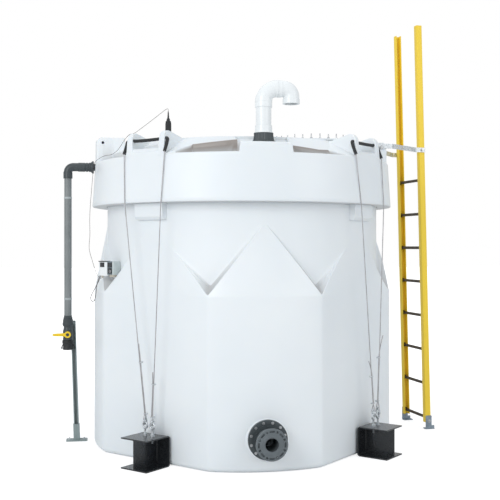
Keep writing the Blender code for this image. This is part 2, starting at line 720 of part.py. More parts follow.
def make_valve_handle():
    """The lever on the valve's stem, closed: it points away from the tank."""
    stem_x = -FILL_RADIAL
    stem_y = -HUB_LENGTH
    handle = add("valve_handle", drum_mesh("ring", 0.0265, (0, -0.0003, 0), (0, -0.022, 0), 24),
                 "yellow_plastic", shift(stem_x, stem_y, VALVE_Z))
    lever = [(0.0, -0.013), (-0.07, -0.013), (-LEVER_LENGTH + 0.008, -0.009),
             (-LEVER_LENGTH, 0.0), (-LEVER_LENGTH + 0.008, 0.009), (-0.07, 0.013), (0.0, 0.013)]
    join(handle, plate_mesh("lever", lever, 0.012, FRONT_VIEW, 0.016))
    smooth(settle(handle))


def make_fill_support():
    """A slotted channel on a foot, leaning out a little to a clamp behind the valve."""
    place = azimuth_turn(270) @ shift(x=-SUPPORT_BEHIND, y=-SUPPORT_RADIAL)
    half = 0.0205
    wall = 0.0028
    channel = [(-half, -half), (half, -half), (half, half), (half - 0.009, half),
               (half - 0.009, half - wall), (half - wall, half - wall), (half - wall, wall - half),
               (wall - half, wall - half), (wall - half, half - wall),
               (0.009 - half, half - wall), (0.009 - half, half), (-half, half)]
    support = add("fill_support", plate_mesh("channel", channel, SUPPORT_TOP_Z - 0.004, UPRIGHT,
                                             (SUPPORT_TOP_Z + 0.004) / 2), "grey_paint", place)
    sleeve = box_mesh("sleeve", (-0.026, -0.026, 0.006), (0.026, 0.026, 0.14))
    lean = Matrix.Identity(4)
    lean[1][2] = -SUPPORT_LEAN
    support.data.transform(lean)
    sleeve.transform(lean)
    foot = box_mesh("foot", (-0.05, -0.088, 0.0), (0.05, 0.088, 0.009))
    across = FILL_RADIAL - SUPPORT_RADIAL
    clamp = box_mesh("clamp", (half - 0.002, -across - 0.018, VALVE_Z + 0.074),
                     (SUPPORT_BEHIND - 0.0363, -across + 0.02, VALVE_Z + 0.098))
    arm = box_mesh("arm", (half - 0.003, -across + 0.015, VALVE_Z + 0.074),
                   (half + 0.006, -0.02, VALVE_Z + 0.098))
    join(support, sleeve, foot, arm, clamp)
    return smooth(settle(support))


def make_outlet():
    """A bolted flange on the tank and a short flanged pipe with a clear bore."""
    face = OUTLET_BOSS_FACE + GAP
    outer = face + TANK_FLANGE_THICKNESS
    flange = add("outlet_tank_flange", drum_mesh(
        "outlet_tank_flange", TANK_FLANGE_RADIUS, (0, -face, OUTLET_Z), (0, -outer, OUTLET_Z), 48),
        "dark_pvc")
    cut(flange, drum_mesh("flange_bore", OUTLET_BORE, (0, -1.2, OUTLET_Z), (0, -1.4, OUTLET_Z), 24))
    smooth(settle(flange))
    start = outer + GAP
    back = PIPE_FLANGE_FACE - PIPE_FLANGE_THICKNESS
    spool = add("outlet_spool", drum_mesh("collar", 0.085, (0, -start, OUTLET_Z),
                                          (0, -start - 0.022, OUTLET_Z), 40), "grey_pvc")
    join(spool, drum_mesh("neck", 0.0665, (0, -start - 0.02, OUTLET_Z),
                          (0, -back - 0.005, OUTLET_Z), 32))
    join(spool, drum_mesh("flange", PIPE_FLANGE_RADIUS, (0, -back, OUTLET_Z),
                          (0, -PIPE_FLANGE_FACE, OUTLET_Z), 48))
    cut(spool, drum_mesh("bore", OUTLET_BORE, (0, -1.2, OUTLET_Z), (0, -1.6, OUTLET_Z), 24))
    for i in range(FLANGE_HOLES):
        a = math.radians(360 * (i + 0.5) / FLANGE_HOLES)
        x = FLANGE_HOLE_CIRCLE * math.cos(a)
        z = OUTLET_Z + FLANGE_HOLE_CIRCLE * math.sin(a)
        cut(spool, drum_mesh("bolt_hole", FLANGE_HOLE_RADIUS, (x, -back + 0.01, z),
                             (x, -PIPE_FLANGE_FACE - 0.01, z), 12))
    smooth(settle(spool))


def eye_places(name):
    """Where an anchor's two eye bolts stand, sideways from its lug's middle."""
    middle = ANCHOR_OFFSETS[name]
    return [middle - EYE_SPACING / 2, middle + EYE_SPACING / 2]


def make_anchor(name):
    """A floor bracket of channel with a gusset, carrying two eye bolts."""
    inner = ANCHOR_INNER_RADIUS
    outer = inner + ANCHOR_LENGTH
    plate = ANCHOR_PLATE
    height = ANCHOR_HEIGHT
    bend = 0.022
    offset = ANCHOR_OFFSETS[name]
    outline = [(outer, 0), (outer, plate)]
    outline += arc(inner + bend, bend, bend - plate, 270, 180, 3)
    outline += arc(inner + bend, height - bend, bend - plate, 180, 90, 3)
    outline += [(outer, height - plate), (outer, height)]
    outline += arc(inner + bend, height - bend, bend, 90, 180, 4)
    outline += arc(inner + bend, bend, bend, 180, 270, 4)
    anchor = add("anchor_" + name, plate_mesh("channel", outline, ANCHOR_WIDTH, SIDE_VIEW, -offset),
                 "black_paint", azimuth_turn(LUG_AZIMUTHS[name]))
    join(anchor, box_mesh("gusset", (offset - 0.005, -outer + 0.002, 0.004),
                          (offset + 0.005, -inner - 0.004, height - 0.004)))
    for side in eye_places(name):
        shank = drum_mesh("shank", SHANK_RADIUS, (side, -EYE_RADIAL, height - 0.055),
                          (side, -EYE_RADIAL, EYE_RING_Z - EYE_RING_RADIUS), 10)
        nut = drum_mesh("nut", 0.015, (side, -EYE_RADIAL, height - 0.002),
                        (side, -EYE_RADIAL, height + 0.014), 6)
        under_nut = drum_mesh("under_nut", 0.015, (side, -EYE_RADIAL, height - plate + 0.002),
                              (side, -EYE_RADIAL, height - plate - 0.014), 6)
        ring = ring_mesh("eye", EYE_RING_RADIUS, EYE_WIRE_RADIUS,
                         (side, -EYE_RADIAL, EYE_RING_Z), (0, 1, 0))
        join(anchor, shank, nut, under_nut, ring)
    return smooth(settle(anchor))


def thimble_middle(side):
    """The middle of the cable's loop, which hangs in the eye and pulls up on it."""
    bottom = EYE_RING_Z + EYE_RING_RADIUS - EYE_WIRE_RADIUS - CABLE_RADIUS - 0.0008
    return Vector((side, -EYE_RADIAL, bottom + THIMBLE_RADIUS))


def cable_leg(name, side):
    """A leg's points from the hose's end over the skirt's lower edge to the loop."""
    eye = eye_places(name)[0 if side < 0 else 1]
    loop = thimble_middle(eye)
    hose_end = hose_points()[-1 if side > 0 else 0]
    edge = Vector((side * 0.183 + 0.15 * ANCHOR_OFFSETS[name], -LUG_FRONT_RADIUS - 0.0062,
                   SKIRT_BOTTOM_Z + 0.004))
    return [Vector(hose_end), edge, loop + Vector((0, 0, THIMBLE_RADIUS))]


def hose_points():
    """The hose through both cheeks: across the gap, out of each hole and down its outer face."""
    start = LUG_HALF_WIDTH + 0.0012
    bend = HOSE_RADIUS + 0.0012
    side = []
    for k in range(5):
        angle = math.radians(90 - 22.5 * k)
        side.append((start + bend * math.cos(angle), -HOSE_RADIAL - 0.004 * (k / 4) ** 2,
                     HOSE_Z - bend + bend * math.sin(angle)))
    side.append((start + bend, -HOSE_RADIAL - 0.016, HOSE_Z - 0.050))
    side.append((start + bend, -HOSE_RADIAL - 0.0372, HOSE_Z - 0.100))
    other = [(-x, y, z) for x, y, z in side]
    return other[::-1] + side


def make_cable(name):
    """One wire rope: from eye to eye, up both legs and through the hose across the lug."""
    turn = azimuth_turn(LUG_AZIMUTHS[name])
    left = cable_leg(name, -1)
    right = cable_leg(name, 1)
    route = left[:0:-1] + [Vector(point) for point in hose_points()] + right[1:]
    cable = add("cable_" + name, tube_mesh("cable", route, CABLE_RADIUS, 2),
                "galvanised_steel", turn)
    for side in eye_places(name):
        join(cable, ring_mesh("loop", THIMBLE_RADIUS, CABLE_RADIUS, thimble_middle(side),
                              (1, 0, 0)))
    smooth(settle(cable), 60)

    hose = add("hose_" + name, tube_mesh("hose", hose_points(), HOSE_RADIUS, 3),
               "black_rubber", turn)
    cut(hose, tube_mesh("hose_bore", extended(hose_points(), 0.02), HOSE_BORE_RADIUS, 2))
    smooth(settle(hose), 60)


def rail_place(which):
    """A rail's foot and head, as points on its middle line."""
    foot = Vector((RAIL_FOOT_X[which], RAIL_Y[which], 0.0))
    head = foot + Vector((-RAIL_LEAN, 0.0, RAIL_HEIGHT))
    return foot, head


def on_rail(which, height):
    foot, head = rail_place(which)
    return foot.lerp(head, height / RAIL_HEIGHT)


def make_ladder():
    """Two fibreglass channel rails on angle feet, and round rungs between them."""
    half = RAIL_SIZE / 2
    wall = 0.007
    across = (on_rail("far", 0) - on_rail("near", 0)).normalized()
    outward = Vector((across.y, -across.x, 0))
    for which in ("near", "far"):
        foot, head = rail_place(which)
        facing = 1 if which == "near" else -1
        outline = [(-half, -half), (half, -half), (half, half), (half - wall, half),
                   (half - wall, wall - half), (wall - half, wall - half), (wall - half, half),
                   (-half, half)]
        lean = Matrix.Identity(4)
        inward = across * facing
        up = (head - foot) / RAIL_HEIGHT
        for row in range(3):
            lean[row][0] = outward[row]
            lean[row][1] = inward[row]
            lean[row][2] = up[row]
            lean[row][3] = foot[row]
        rail = add("ladder_rail_" + which, plate_mesh("rail", outline, RAIL_HEIGHT - 0.06, UPRIGHT,
                                                      (RAIL_HEIGHT + 0.06) / 2),
                   "yellow_fibreglass", UPRIGHT)
        rail.data.transform(lean)
        shoe = box_mesh("shoe", (-half - 0.004, -half - 0.006, 0.0), (half + 0.004, -half + 0.001, 0.12))
        sole = box_mesh("sole", (-half - 0.004, -half - 0.006, 0.0), (half + 0.034, -half + 0.034, 0.008))
        square = lean.copy()
        for row in range(3):
            square[row][2] = (0, 0, 1)[row]
        for piece in (shoe, sole):
            piece.transform(square)
        join(rail, shoe, sole)
        smooth(settle(rail))
    for k in range(RUNG_COUNT):
        height = RUNG_FIRST_Z + k * RUNG_PITCH
        near = on_rail("near", height)
        far = on_rail("far", height)
        step = across * (half - wall - GAP)
        rung = add("ladder_rung_%d" % (k + 1), drum_mesh(
            "rung", RUNG_RADIUS, near - step, far + step, 12), "dark_steel")
        smooth(rung)


def make_ladder_bracket(which):
    """A slotted strut from the side of the tall block out to a rail."""
    side = -1 if which == "near" else 1
    start = Vector((BLOCK_HOLE_RADIAL - 0.03, side * (BLOCK_HALF_WIDTH + GAP), BLOCK_HOLE_Z + 0.012))
    rail = on_rail(which, start.z)
    across = (on_rail("far", 0) - on_rail("near", 0)).normalized()
    along = Vector((across.y, -across.x, 0))
    end = rail + across * side * (RAIL_SIZE / 2 + 0.0004) + along * 0.03
    last = end - along * 0.095
    thick = BRACKET_THICKNESS
    outline = [(start.x, start.y), (1.275, start.y), (last.x, last.y), (end.x, end.y)]
    back = [(x, y + side * thick) for x, y in outline[::-1]]
    bracket = add("ladder_bracket_" + which, plate_mesh(
        "strap", outline + back, BRACKET_HEIGHT, UPRIGHT, start.z), "galvanised_steel")
    bolt = drum_mesh("bolt", BOLT_HOLE_RADIUS - 0.001,
                     (BLOCK_HOLE_RADIAL, side * (BLOCK_HALF_WIDTH - 0.05), BLOCK_HOLE_Z),
                     (BLOCK_HOLE_RADIAL, side * (BLOCK_HALF_WIDTH + thick + 0.008), BLOCK_HOLE_Z), 12)
    join(bracket, bolt)
    smooth(settle(bracket))


def make_alarm_box():
    """A white alarm housing beside a dark relay housing, on a plate against the wall."""
    place = azimuth_turn(ALARM_AZIMUTH)
    inner = NECK_RADIUS + GAP
    outer = 1.195
    backplate = box_mesh("backplate", (-0.088, -inner - 0.008, ALARM_Z - 0.062),
                         (0.045, -inner, ALARM_Z + 0.062))
    alarm = box_mesh("alarm", (-0.086, -outer, ALARM_Z - 0.058),
                     (-0.020, -inner - 0.006, ALARM_Z + 0.060))
    relay = box_mesh("relay", (-0.021, -outer + 0.008, ALARM_Z - 0.032),
                     (0.088, -inner - 0.002, ALARM_Z + 0.055))
    box = add("alarm_box", backplate, "white_pvc", place)
    join(box, alarm, relay)
    smooth(settle(box))


make_tank_base()
make_tank_wall()
make_skirt()
make_roof()
make_manway()
make_vent()
make_level_sensor()
make_sensor_wire()
make_fill_line()
make_valve_handle()
make_fill_support()
make_outlet()
for lug_name in LUG_AZIMUTHS:
    make_anchor(lug_name)
    make_cable(lug_name)
make_ladder()
make_ladder_bracket("near")
make_ladder_bracket("far")
make_alarm_box()

for leftover in list(cutters.objects):
    bpy.data.objects.remove(leftover, do_unlink=True)
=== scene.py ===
# Looks for the vertical storage tank: moulded body, rim, fittings, tie-downs and ladder.
# Metres, +Z up, the tank's axis at the origin. Azimuth 0 faces -Y and 90 faces +X.

import math

import bmesh
import bpy
import numpy as np
from mathutils import Matrix, Vector


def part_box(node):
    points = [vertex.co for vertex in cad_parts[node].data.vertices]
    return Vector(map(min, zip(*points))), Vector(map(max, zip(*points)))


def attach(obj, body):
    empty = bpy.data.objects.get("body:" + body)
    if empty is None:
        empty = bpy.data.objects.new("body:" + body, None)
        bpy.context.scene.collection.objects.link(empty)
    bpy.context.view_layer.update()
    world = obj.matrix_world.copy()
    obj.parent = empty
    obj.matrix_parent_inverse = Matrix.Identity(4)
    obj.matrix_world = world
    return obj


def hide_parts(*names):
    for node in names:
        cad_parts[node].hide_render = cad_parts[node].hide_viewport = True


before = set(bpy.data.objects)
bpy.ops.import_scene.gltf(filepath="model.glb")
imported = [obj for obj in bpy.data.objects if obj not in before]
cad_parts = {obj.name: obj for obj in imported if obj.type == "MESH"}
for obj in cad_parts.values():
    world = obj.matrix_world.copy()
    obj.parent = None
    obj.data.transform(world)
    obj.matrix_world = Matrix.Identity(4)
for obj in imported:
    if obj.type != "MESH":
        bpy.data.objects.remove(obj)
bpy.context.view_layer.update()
print("frame loaded:", len(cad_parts), "nodes")

sideAzimuths = (90, 270)
lugAzimuths = (45, 135, 225, 315)
facingFront = (0, -1, 0)


# Small mesh tools. A shape is a pair: an array of points and a list of faces.

def gridShape(grid, wrapRows=False, wrapColumns=False):
    # quads between neighbouring rows and columns of an array of points
    rows, columns = grid.shape[:2]
    index = np.arange(rows * columns).reshape(rows, columns)
    if wrapRows:
        index = np.vstack([index, index[:1]])
    if wrapColumns:
        index = np.hstack([index, index[:, :1]])
    quads = np.stack([index[:-1, :-1], index[:-1, 1:], index[1:, 1:], index[1:, :-1]], axis=-1)
    return grid.reshape(-1, 3), quads.reshape(-1, 4).tolist()


def cappedShape(grid):
    # the same, closed round its columns, with a flat face over its first and its last row
    points, faces = gridShape(grid, wrapColumns=True)
    count = grid.shape[1]
    faces.append(list(range(count)))
    faces.append(list(range(len(points) - count, len(points)))[::-1])
    return points, faces


def joined(*shapes):
    # one shape from many
    points = []
    faces = []
    start = 0
    for shapePoints, shapeFaces in shapes:
        points.append(np.asarray(shapePoints, float))
        faces += [[corner + start for corner in face] for face in shapeFaces]
        start += len(shapePoints)
    return np.vstack(points), faces


def placed(shape, matrix):
    # the shape moved by a 4x4 matrix
    turn = np.array(matrix)[:3, :3]
    return np.asarray(shape[0]) @ turn.T + np.array(matrix)[:3, 3], shape[1]


def lathe(profile, sides=48, closed=False):
    # each (radius, height) point of the profile goes round +Z: x = r cos a, y = r sin a
    profile = np.asarray(profile, float)
    angle = np.linspace(0, 2 * np.pi, sides, endpoint=False)
    grid = np.stack([profile[:, :1] * np.cos(angle), profile[:, :1] * np.sin(angle),
                     np.repeat(profile[:, 1:], sides, axis=1)], axis=-1)
    return gridShape(grid, wrapRows=closed, wrapColumns=True)


def ringLathe(profile, sides=48):
    # the same for a closed section that stays clear of the axis
    return lathe(profile, sides, closed=True)


def disc(radius, low, high, sides=24):
    # a closed cylinder about +Z
    return lathe([(0, low), (radius, low), (radius, high), (0, high)], sides)


def washer(bore, radius, low, high, sides=24):
    # the same with a bore
    return ringLathe([(bore, low), (radius, low), (radius, high), (bore, high)], sides)


def travelled(path):
    # the length of the path up to each of its points
    return np.concatenate([[0], np.cumsum(np.linalg.norm(np.diff(path, axis=0), axis=1))])


def pathFrames(path):
    # two vectors square to the path: one carried along without twist, and its cross product
    tangent = np.gradient(path, axis=0)
    tangent /= np.linalg.norm(tangent, axis=1, keepdims=True)
    start = np.array([0.0, 0.0, 1.0]) if abs(tangent[0, 2]) < 0.9 else np.array([1.0, 0.0, 0.0])
    side = np.cross(tangent[0], start)
    side /= np.linalg.norm(side)
    sides = [side]
    for direction in tangent[1:]:
        side = side - direction * side.dot(direction)
        side /= np.linalg.norm(side)
        sides.append(side)
    side = np.array(sides)
    return side, np.cross(tangent, side)


def sweep(path, radius, sides=16, lobes=0, lobeDepth=0.0, layLength=None):
    # a ring of radius r(1 + depth cos(lobes (a - turn))) carried along a path, turning once a lay
    path = np.asarray(path, float)
    side, up = pathFrames(path)
    angle = np.linspace(0, 2 * np.pi, sides, endpoint=False)[None, :]
    ring = np.broadcast_to(np.asarray(radius, float).reshape(-1, 1), (len(path), 1))
    turn = 2 * np.pi * travelled(path)[:, None] / layLength if layLength else 0.0
    if lobes:
        ring = ring * (1 + lobeDepth * np.cos(lobes * (angle - turn)))
    ring = np.broadcast_to(ring, (len(path), sides))[..., None]
    grid = path[:, None] + ring * (side[:, None] * np.cos(angle)[..., None]
                                   + up[:, None] * np.sin(angle)[..., None])
    return cappedShape(grid)


def hollowSweep(path, outer, bore, sides=48):
    # an outer and an inner ring carried along the path, joined at both ends
    path = np.asarray(path, float)
    side, up = pathFrames(path)
    angle = np.linspace(0, 2 * np.pi, sides, endpoint=False)[None, :, None]
    spoke = side[:, None] * np.cos(angle) + up[:, None] * np.sin(angle)
    outer = np.broadcast_to(np.asarray(outer, float).reshape(-1, 1, 1), (len(path), 1, 1))
    grid = np.concatenate([path[:, None] + outer * spoke, (path[:, None] + bore * spoke)[::-1]])
    return gridShape(grid, wrapRows=True, wrapColumns=True)


def upPath(heights):
    # a straight path up the Z axis
    heights = np.asarray(heights, float)
    return np.stack([0 * heights, 0 * heights, heights], axis=-1)


def ribbedPost(heights, radius, ribs, depth, perRib=8):
    # an upright round bar with straight ribs: r(1 + depth cos(ribs a))
    return sweep(upPath(heights), radius, ribs * perRib, ribs, depth)


def elbowPath(start, end, bend, high, low, counts):
    # level along X, a quarter circle round the corner, then straight down
    runCount, turnCount, dropCount = counts
    run = np.linspace(start, end - bend, runCount)
    turn = np.linspace(0, math.pi / 2, turnCount)[1:]
    drop = np.linspace(high - bend, low, dropCount)[1:]
    reach = np.concatenate([run, end - bend + bend * np.sin(turn), np.full(len(drop), end)])
    height = np.concatenate([np.full(runCount, high), high - bend + bend * np.cos(turn), drop])
    return np.stack([reach, 0 * reach, height], axis=-1)


def smoothRoute(points, steps=6):
    # Catmull-Rom: each stretch blends its four neighbouring points with cubic weights
    places = np.asarray(points, float)
    places = np.vstack([2 * places[0] - places[1], places, 2 * places[-1] - places[-2]])
    share = np.linspace(0, 1, steps, endpoint=False)[None, :, None]
    a, b, c, d = (places[k:len(places) - 3 + k, None] for k in range(4))
    curve = 0.5 * (2 * b + (c - a) * share + (2 * a - 5 * b + 4 * c - d) * share ** 2
                   + (3 * b - a - 3 * c + d) * share ** 3)
    return np.vstack([curve.reshape(-1, 3), places[-2]])


def evenly(path, spacing):
    # the same path with points a fixed distance apart
    path = np.asarray(path, float)
    length = travelled(path)
    count = max(2, int(round(length[-1] / spacing)) + 1)
    places = np.linspace(0, length[-1], count)
    return np.stack([np.interp(places, length, path[:, k]) for k in range(3)], axis=-1)


def boxShape(low, high):
    # eight corners and six faces
    low = np.asarray(low, float)
    high = np.asarray(high, float)
    corner = np.array([[x, y, z] for x in (0, 1) for y in (0, 1) for z in (0, 1)], float)
    faces = [[0, 1, 3, 2], [4, 6, 7, 5], [0, 4, 5, 1], [2, 3, 7, 6], [0, 2, 6, 4], [1, 5, 7, 3]]
    return low + corner * (high - low), faces


def prism(outline, depth, view="side", middle=0.0):
    # an outline given a depth. "side": x runs outward (-Y), y up, depth along X.
    # "front": x along X, y up, depth along Y. "plan": x and y flat, depth along Z.
    outline = np.asarray(outline, float)
    across = outline[:, 0]
    along = outline[:, 1]
    ends = []
    for offset in (middle - depth / 2, middle + depth / 2):
        flat = np.full(len(outline), offset)
        corners = {"side": (flat, -across, along), "front": (across, flat, along),
                   "plan": (across, along, flat)}
        ends.append(np.stack(corners[view], axis=-1))
    return cappedShape(np.stack(ends))


def arcPoints(middle, radius, start, end, count=6):
    # points on an arc, in degrees
    angle = np.radians(np.linspace(start, end, count + 1))
    return np.stack([middle[0] + radius * np.cos(angle), middle[1] + radius * np.sin(angle)], -1)


def roundedBox(low, high, turn, count=3):
    # an upright box whose four standing corners are rounded
    outline = np.concatenate([
        arcPoints((high[0] - turn, high[1] - turn), turn, 0, 90, count),
        arcPoints((low[0] + turn, high[1] - turn), turn, 90, 180, count),
        arcPoints((low[0] + turn, low[1] + turn), turn, 180, 270, count),
        arcPoints((high[0] - turn, low[1] + turn), turn, 270, 360, count)])
    return prism(outline, high[2] - low[2], "plan", (low[2] + high[2]) / 2)


def softMin(a, b, soft):
    # (a + b - sqrt((a - b)^2 + s^2)) / 2
    return (a + b - np.sqrt((a - b) ** 2 + soft ** 2)) / 2


def softMax(a, b, soft):
    # (a + b + sqrt((a - b)^2 + s^2)) / 2
    return (a + b + np.sqrt((a - b) ** 2 + soft ** 2)) / 2


def softStep(value, width):
    # 0 below -width, 1 above +width, a cubic between
    share = np.clip(0.5 + value / (2 * width), 0, 1)
    return share * share * (3 - 2 * share)


def steppedRadius(path, base, collars, soft=0.0012):
    # a base radius, raised to a collar's over each (start, end, radius) along the path's length
    length = travelled(path)
    radius = np.full(len(path), base)
    for start, end, collar in collars:
        share = softStep(length - start, soft) * softStep(end - length, soft)
        radius = radius + (collar - base) * share
    return radius


def toAzimuth(azimuth):
    # a turn about +Z from azimuth 0
    return Matrix.Rotation(math.radians(azimuth), 4, "Z")


def standing(place, direction):
    # a matrix that takes +Z to a direction, at a place
    turn = Vector(direction).to_track_quat("Z", "Y").to_matrix().to_4x4()
    return Matrix.Translation(Vector(place)) @ turn


def roundSpots(place, circle, count, first=0.0, twist=0.0):
    # places round a circle from a first angle in degrees, each twisted a bit more about its axis
    spots = []
    for index in range(count):
        turn = math.radians(first + 360 * index / count)
        spot = place @ Matrix.Translation((circle * math.cos(turn), circle * math.sin(turn), 0))
        spots.append(spot @ Matrix.Rotation(index * twist, 4, "Z"))
    return spots


# Fasteners

def hexNut(radius, low, high, bore=0.3):
    # a hexagon with its corners chamfered top and bottom; its bore is a share of its radius
    chamfer = 0.12 * (high - low)
    narrow = 0.9 * radius
    section = [(radius * bore, low), (narrow, low), (radius, low + chamfer),
               (radius, high - chamfer), (narrow, high), (radius * bore, high)]
    return ringLathe(section, 6)


def boltHead(place, hexagon, plate, sides=24):
    # a closed hexagon on a washer, each given as its radius, low and high
    return placed(joined(hexNut(*hexagon, bore=0.05), disc(*plate, sides)), place)


def threadRod(radius, low, high, pitch, sides=10):
    # rings that alternate between the crest and the root of a thread, under a blunt tip
    count = 2 * max(2, int((high - low) / pitch)) + 1
    height = np.linspace(low, high - 0.001, count)
    width = np.where(np.arange(count) % 2, radius, radius * 0.87)
    profile = np.stack([width, height], -1).tolist()
    return lathe([(0, low)] + profile + [(radius * 0.6, high), (0, high)], sides)


# Finished pieces

def linkedObject(name, data):
    # a new object in the scene
    item = bpy.data.objects.new(name, data)
    bpy.context.scene.collection.objects.link(item)
    return item


def cleanMesh(mesh, merge=True):
    # coinciding points become one, and the faces turn outward
    work = bmesh.new()
    work.from_mesh(mesh)
    if merge:
        bmesh.ops.remove_doubles(work, verts=work.verts, dist=0.000002)
        bmesh.ops.dissolve_degenerate(work, edges=work.edges, dist=0.000001)
    bmesh.ops.recalc_face_normals(work, faces=work.faces)
    work.to_mesh(mesh)
    work.free()


def makePiece(name, shape, finish, body="tank", replaces=(), angle=35, bevel=0.0,
              segments=2, merge=True):
    # the mesh object of a shape, cleaned, smoothed, dressed, attached to its body, with the parts
    # it replaces hidden
    mesh = bpy.data.meshes.new(name)
    mesh.from_pydata(np.asarray(shape[0]).tolist(), [], shape[1])
    cleanMesh(mesh, merge)
    mesh.shade_smooth()
    mesh.set_sharp_from_angle(angle=math.radians(angle))
    mesh.materials.append(materials[finish])
    piece = linkedObject(name, mesh)
    if bevel:
        edge = piece.modifiers.new("Edges", "BEVEL")
        edge.width = bevel
        edge.segments = segments
        edge.limit_method = "ANGLE"
        edge.angle_limit = math.radians(30)
        edge.harden_normals = False
    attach(piece, body)
    if replaces:
        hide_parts(*replaces)
    return piece


def cutBore(piece, start, end, radius, sides=48):
    # a round hole through a finished piece
    direction = Vector(end) - Vector(start)
    points, faces = placed(disc(radius, 0, direction.length, sides), standing(start, direction))
    tool = bpy.data.meshes.new("boreTool")
    tool.from_pydata(points.tolist(), [], faces)
    cleanMesh(tool)
    cutter = linkedObject("boreTool", tool)
    hole = piece.modifiers.new("Bore", "BOOLEAN")
    hole.operation = "DIFFERENCE"
    hole.object = cutter
    graph = bpy.context.evaluated_depsgraph_get()
    result = bpy.data.meshes.new_from_object(piece.evaluated_get(graph))
    piece.modifiers.remove(hole)
    name = piece.data.name
    piece.data = result
    result.name = name
    bpy.data.objects.remove(cutter, do_unlink=True)


def setPaintedShade(piece, paintedShades):
    # how much painted shade each point gets, from 0 to 1, for the polyethylene's attribute
    layer = piece.data.attributes.new("recessShade", "FLOAT", "POINT")
    layer.data.foreach_set("value", np.asarray(paintedShades, np.float32).reshape(-1))


# Materials. Each has its own colour drift, roughness drift and surface relief.

def nodeTools(name):
    # a new material, its tree, its shader, and the coordinates of the object it is on
    material = bpy.data.materials.new(name)
    material.use_nodes = True
    tree = material.node_tree
    place = tree.nodes.new("ShaderNodeTexCoord")
    return material, tree, tree.nodes["Principled BSDF"], place.outputs["Object"]


def noiseNode(tree, place, scale, detail=3.0, roughness=0.5, stretch=None):
    # a noise's value at a place, whose axes are scaled first where a stretch is given
    if stretch:
        mapping = tree.nodes.new("ShaderNodeMapping")
        mapping.inputs["Scale"].default_value = stretch
        tree.links.new(place, mapping.inputs["Vector"])
        place = mapping.outputs["Vector"]
    noise = tree.nodes.new("ShaderNodeTexNoise")
    noise.inputs["Scale"].default_value = scale
    noise.inputs["Detail"].default_value = detail
    noise.inputs["Roughness"].default_value = roughness
    tree.links.new(place, noise.inputs["Vector"])
    return noise.outputs["Fac"]


def rampNode(tree, value, *stops):
    # each stop is a position and a colour
    ramp = tree.nodes.new("ShaderNodeValToRGB")
    for element, (position, colour) in zip(ramp.color_ramp.elements, stops):
        element.position = position
        element.color = (*colour, 1)
    tree.links.new(value, ramp.inputs["Fac"])
    return ramp.outputs["Color"]


def rangeNode(tree, value, low, high, fromLow=0.3, fromHigh=0.7):
    # low at fromLow, high at fromHigh, straight between and level beyond
    spread = tree.nodes.new("ShaderNodeMapRange")
    spread.inputs["From Min"].default_value = fromLow
    spread.inputs["From Max"].default_value = fromHigh
    spread.inputs["To Min"].default_value = low
    spread.inputs["To Max"].default_value = high
    tree.links.new(value, spread.inputs["Value"])
    return spread.outputs["Result"]


def paintedShadeNode(tree, colour, paintedShade):
    # the painted shade's colour over the other one, by the piece's recessShade attribute
    recessShade = tree.nodes.new("ShaderNodeAttribute")
    recessShade.attribute_name = "recessShade"
    mix = tree.nodes.new("ShaderNodeMix")
    mix.data_type = "RGBA"
    tree.links.new(recessShade.outputs["Fac"], mix.inputs[0])
    tree.links.new(colour, mix.inputs[6])
    mix.inputs[7].default_value = (*paintedShade, 1)
    return mix.outputs[2]


def bumpNode(tree, height, strength, distance, under=None):
    # a height as relief, laid over another relief where one is given
    bump = tree.nodes.new("ShaderNodeBump")
    bump.inputs["Strength"].default_value = strength
    bump.inputs["Distance"].default_value = distance
    tree.links.new(height, bump.inputs["Height"])
    if under:
        tree.links.new(under, bump.inputs["Normal"])
    return bump.outputs["Normal"]


def finishMaterial(name, look):
    # colour drifts on a slow noise; a fine noise sets the roughness and the relief
    material, tree, shader, place = nodeTools(name)
    stretch = look.get("stretch")
    slow = noiseNode(tree, place, look["drift"], 4, 0.55, stretch)
    fine = noiseNode(tree, place, look["grain"], 3, 0.5, stretch)
    colour = rampNode(tree, slow, (0.3, look["dark"]), (0.7, look["light"]))
    rough = look["roughness"]
    tree.links.new(colour, shader.inputs["Base Color"])
    tree.links.new(rangeNode(tree, fine, rough - 0.07, rough + 0.07), shader.inputs["Roughness"])
    tree.links.new(bumpNode(tree, fine, *look["relief"]), shader.inputs["Normal"])
    shader.inputs["Metallic"].default_value = look.get("metallic", 0)
    if "coat" in look:
        shader.inputs["Coat Weight"].default_value = look["coat"]
        shader.inputs["Coat Roughness"].default_value = 0.15
    return material


def polyethyleneMaterial(name, withPaintedShade):
    # faint cloudy drift, orange peel and long moulding waves; painted brown shade where the
    # recessShade attribute asks for it
    look = polyethyleneLook
    material, tree, shader, place = nodeTools(name)
    cloud = noiseNode(tree, place, look["cloudScale"], 3)
    peel = noiseNode(tree, place, look["peelScale"], 2)
    wave = noiseNode(tree, place, look["waveScale"], 2)
    colour = rampNode(tree, cloud, (0.3, look["cool"]), (0.7, look["white"]))
    if withPaintedShade:
        colour = paintedShadeNode(tree, colour, look["recessShade"])
    tree.links.new(colour, shader.inputs["Base Color"])
    tree.links.new(rangeNode(tree, wave, *look["roughness"]), shader.inputs["Roughness"])
    waves = bumpNode(tree, wave, *look["waveRelief"])
    tree.links.new(bumpNode(tree, peel, *look["peelRelief"], waves), shader.inputs["Normal"])
    shader.inputs["Subsurface Weight"].default_value = 0.12
    shader.inputs["Subsurface Radius"].default_value = (0.02, 0.016, 0.012)
    shader.inputs["Subsurface Scale"].default_value = 0.5
    return material


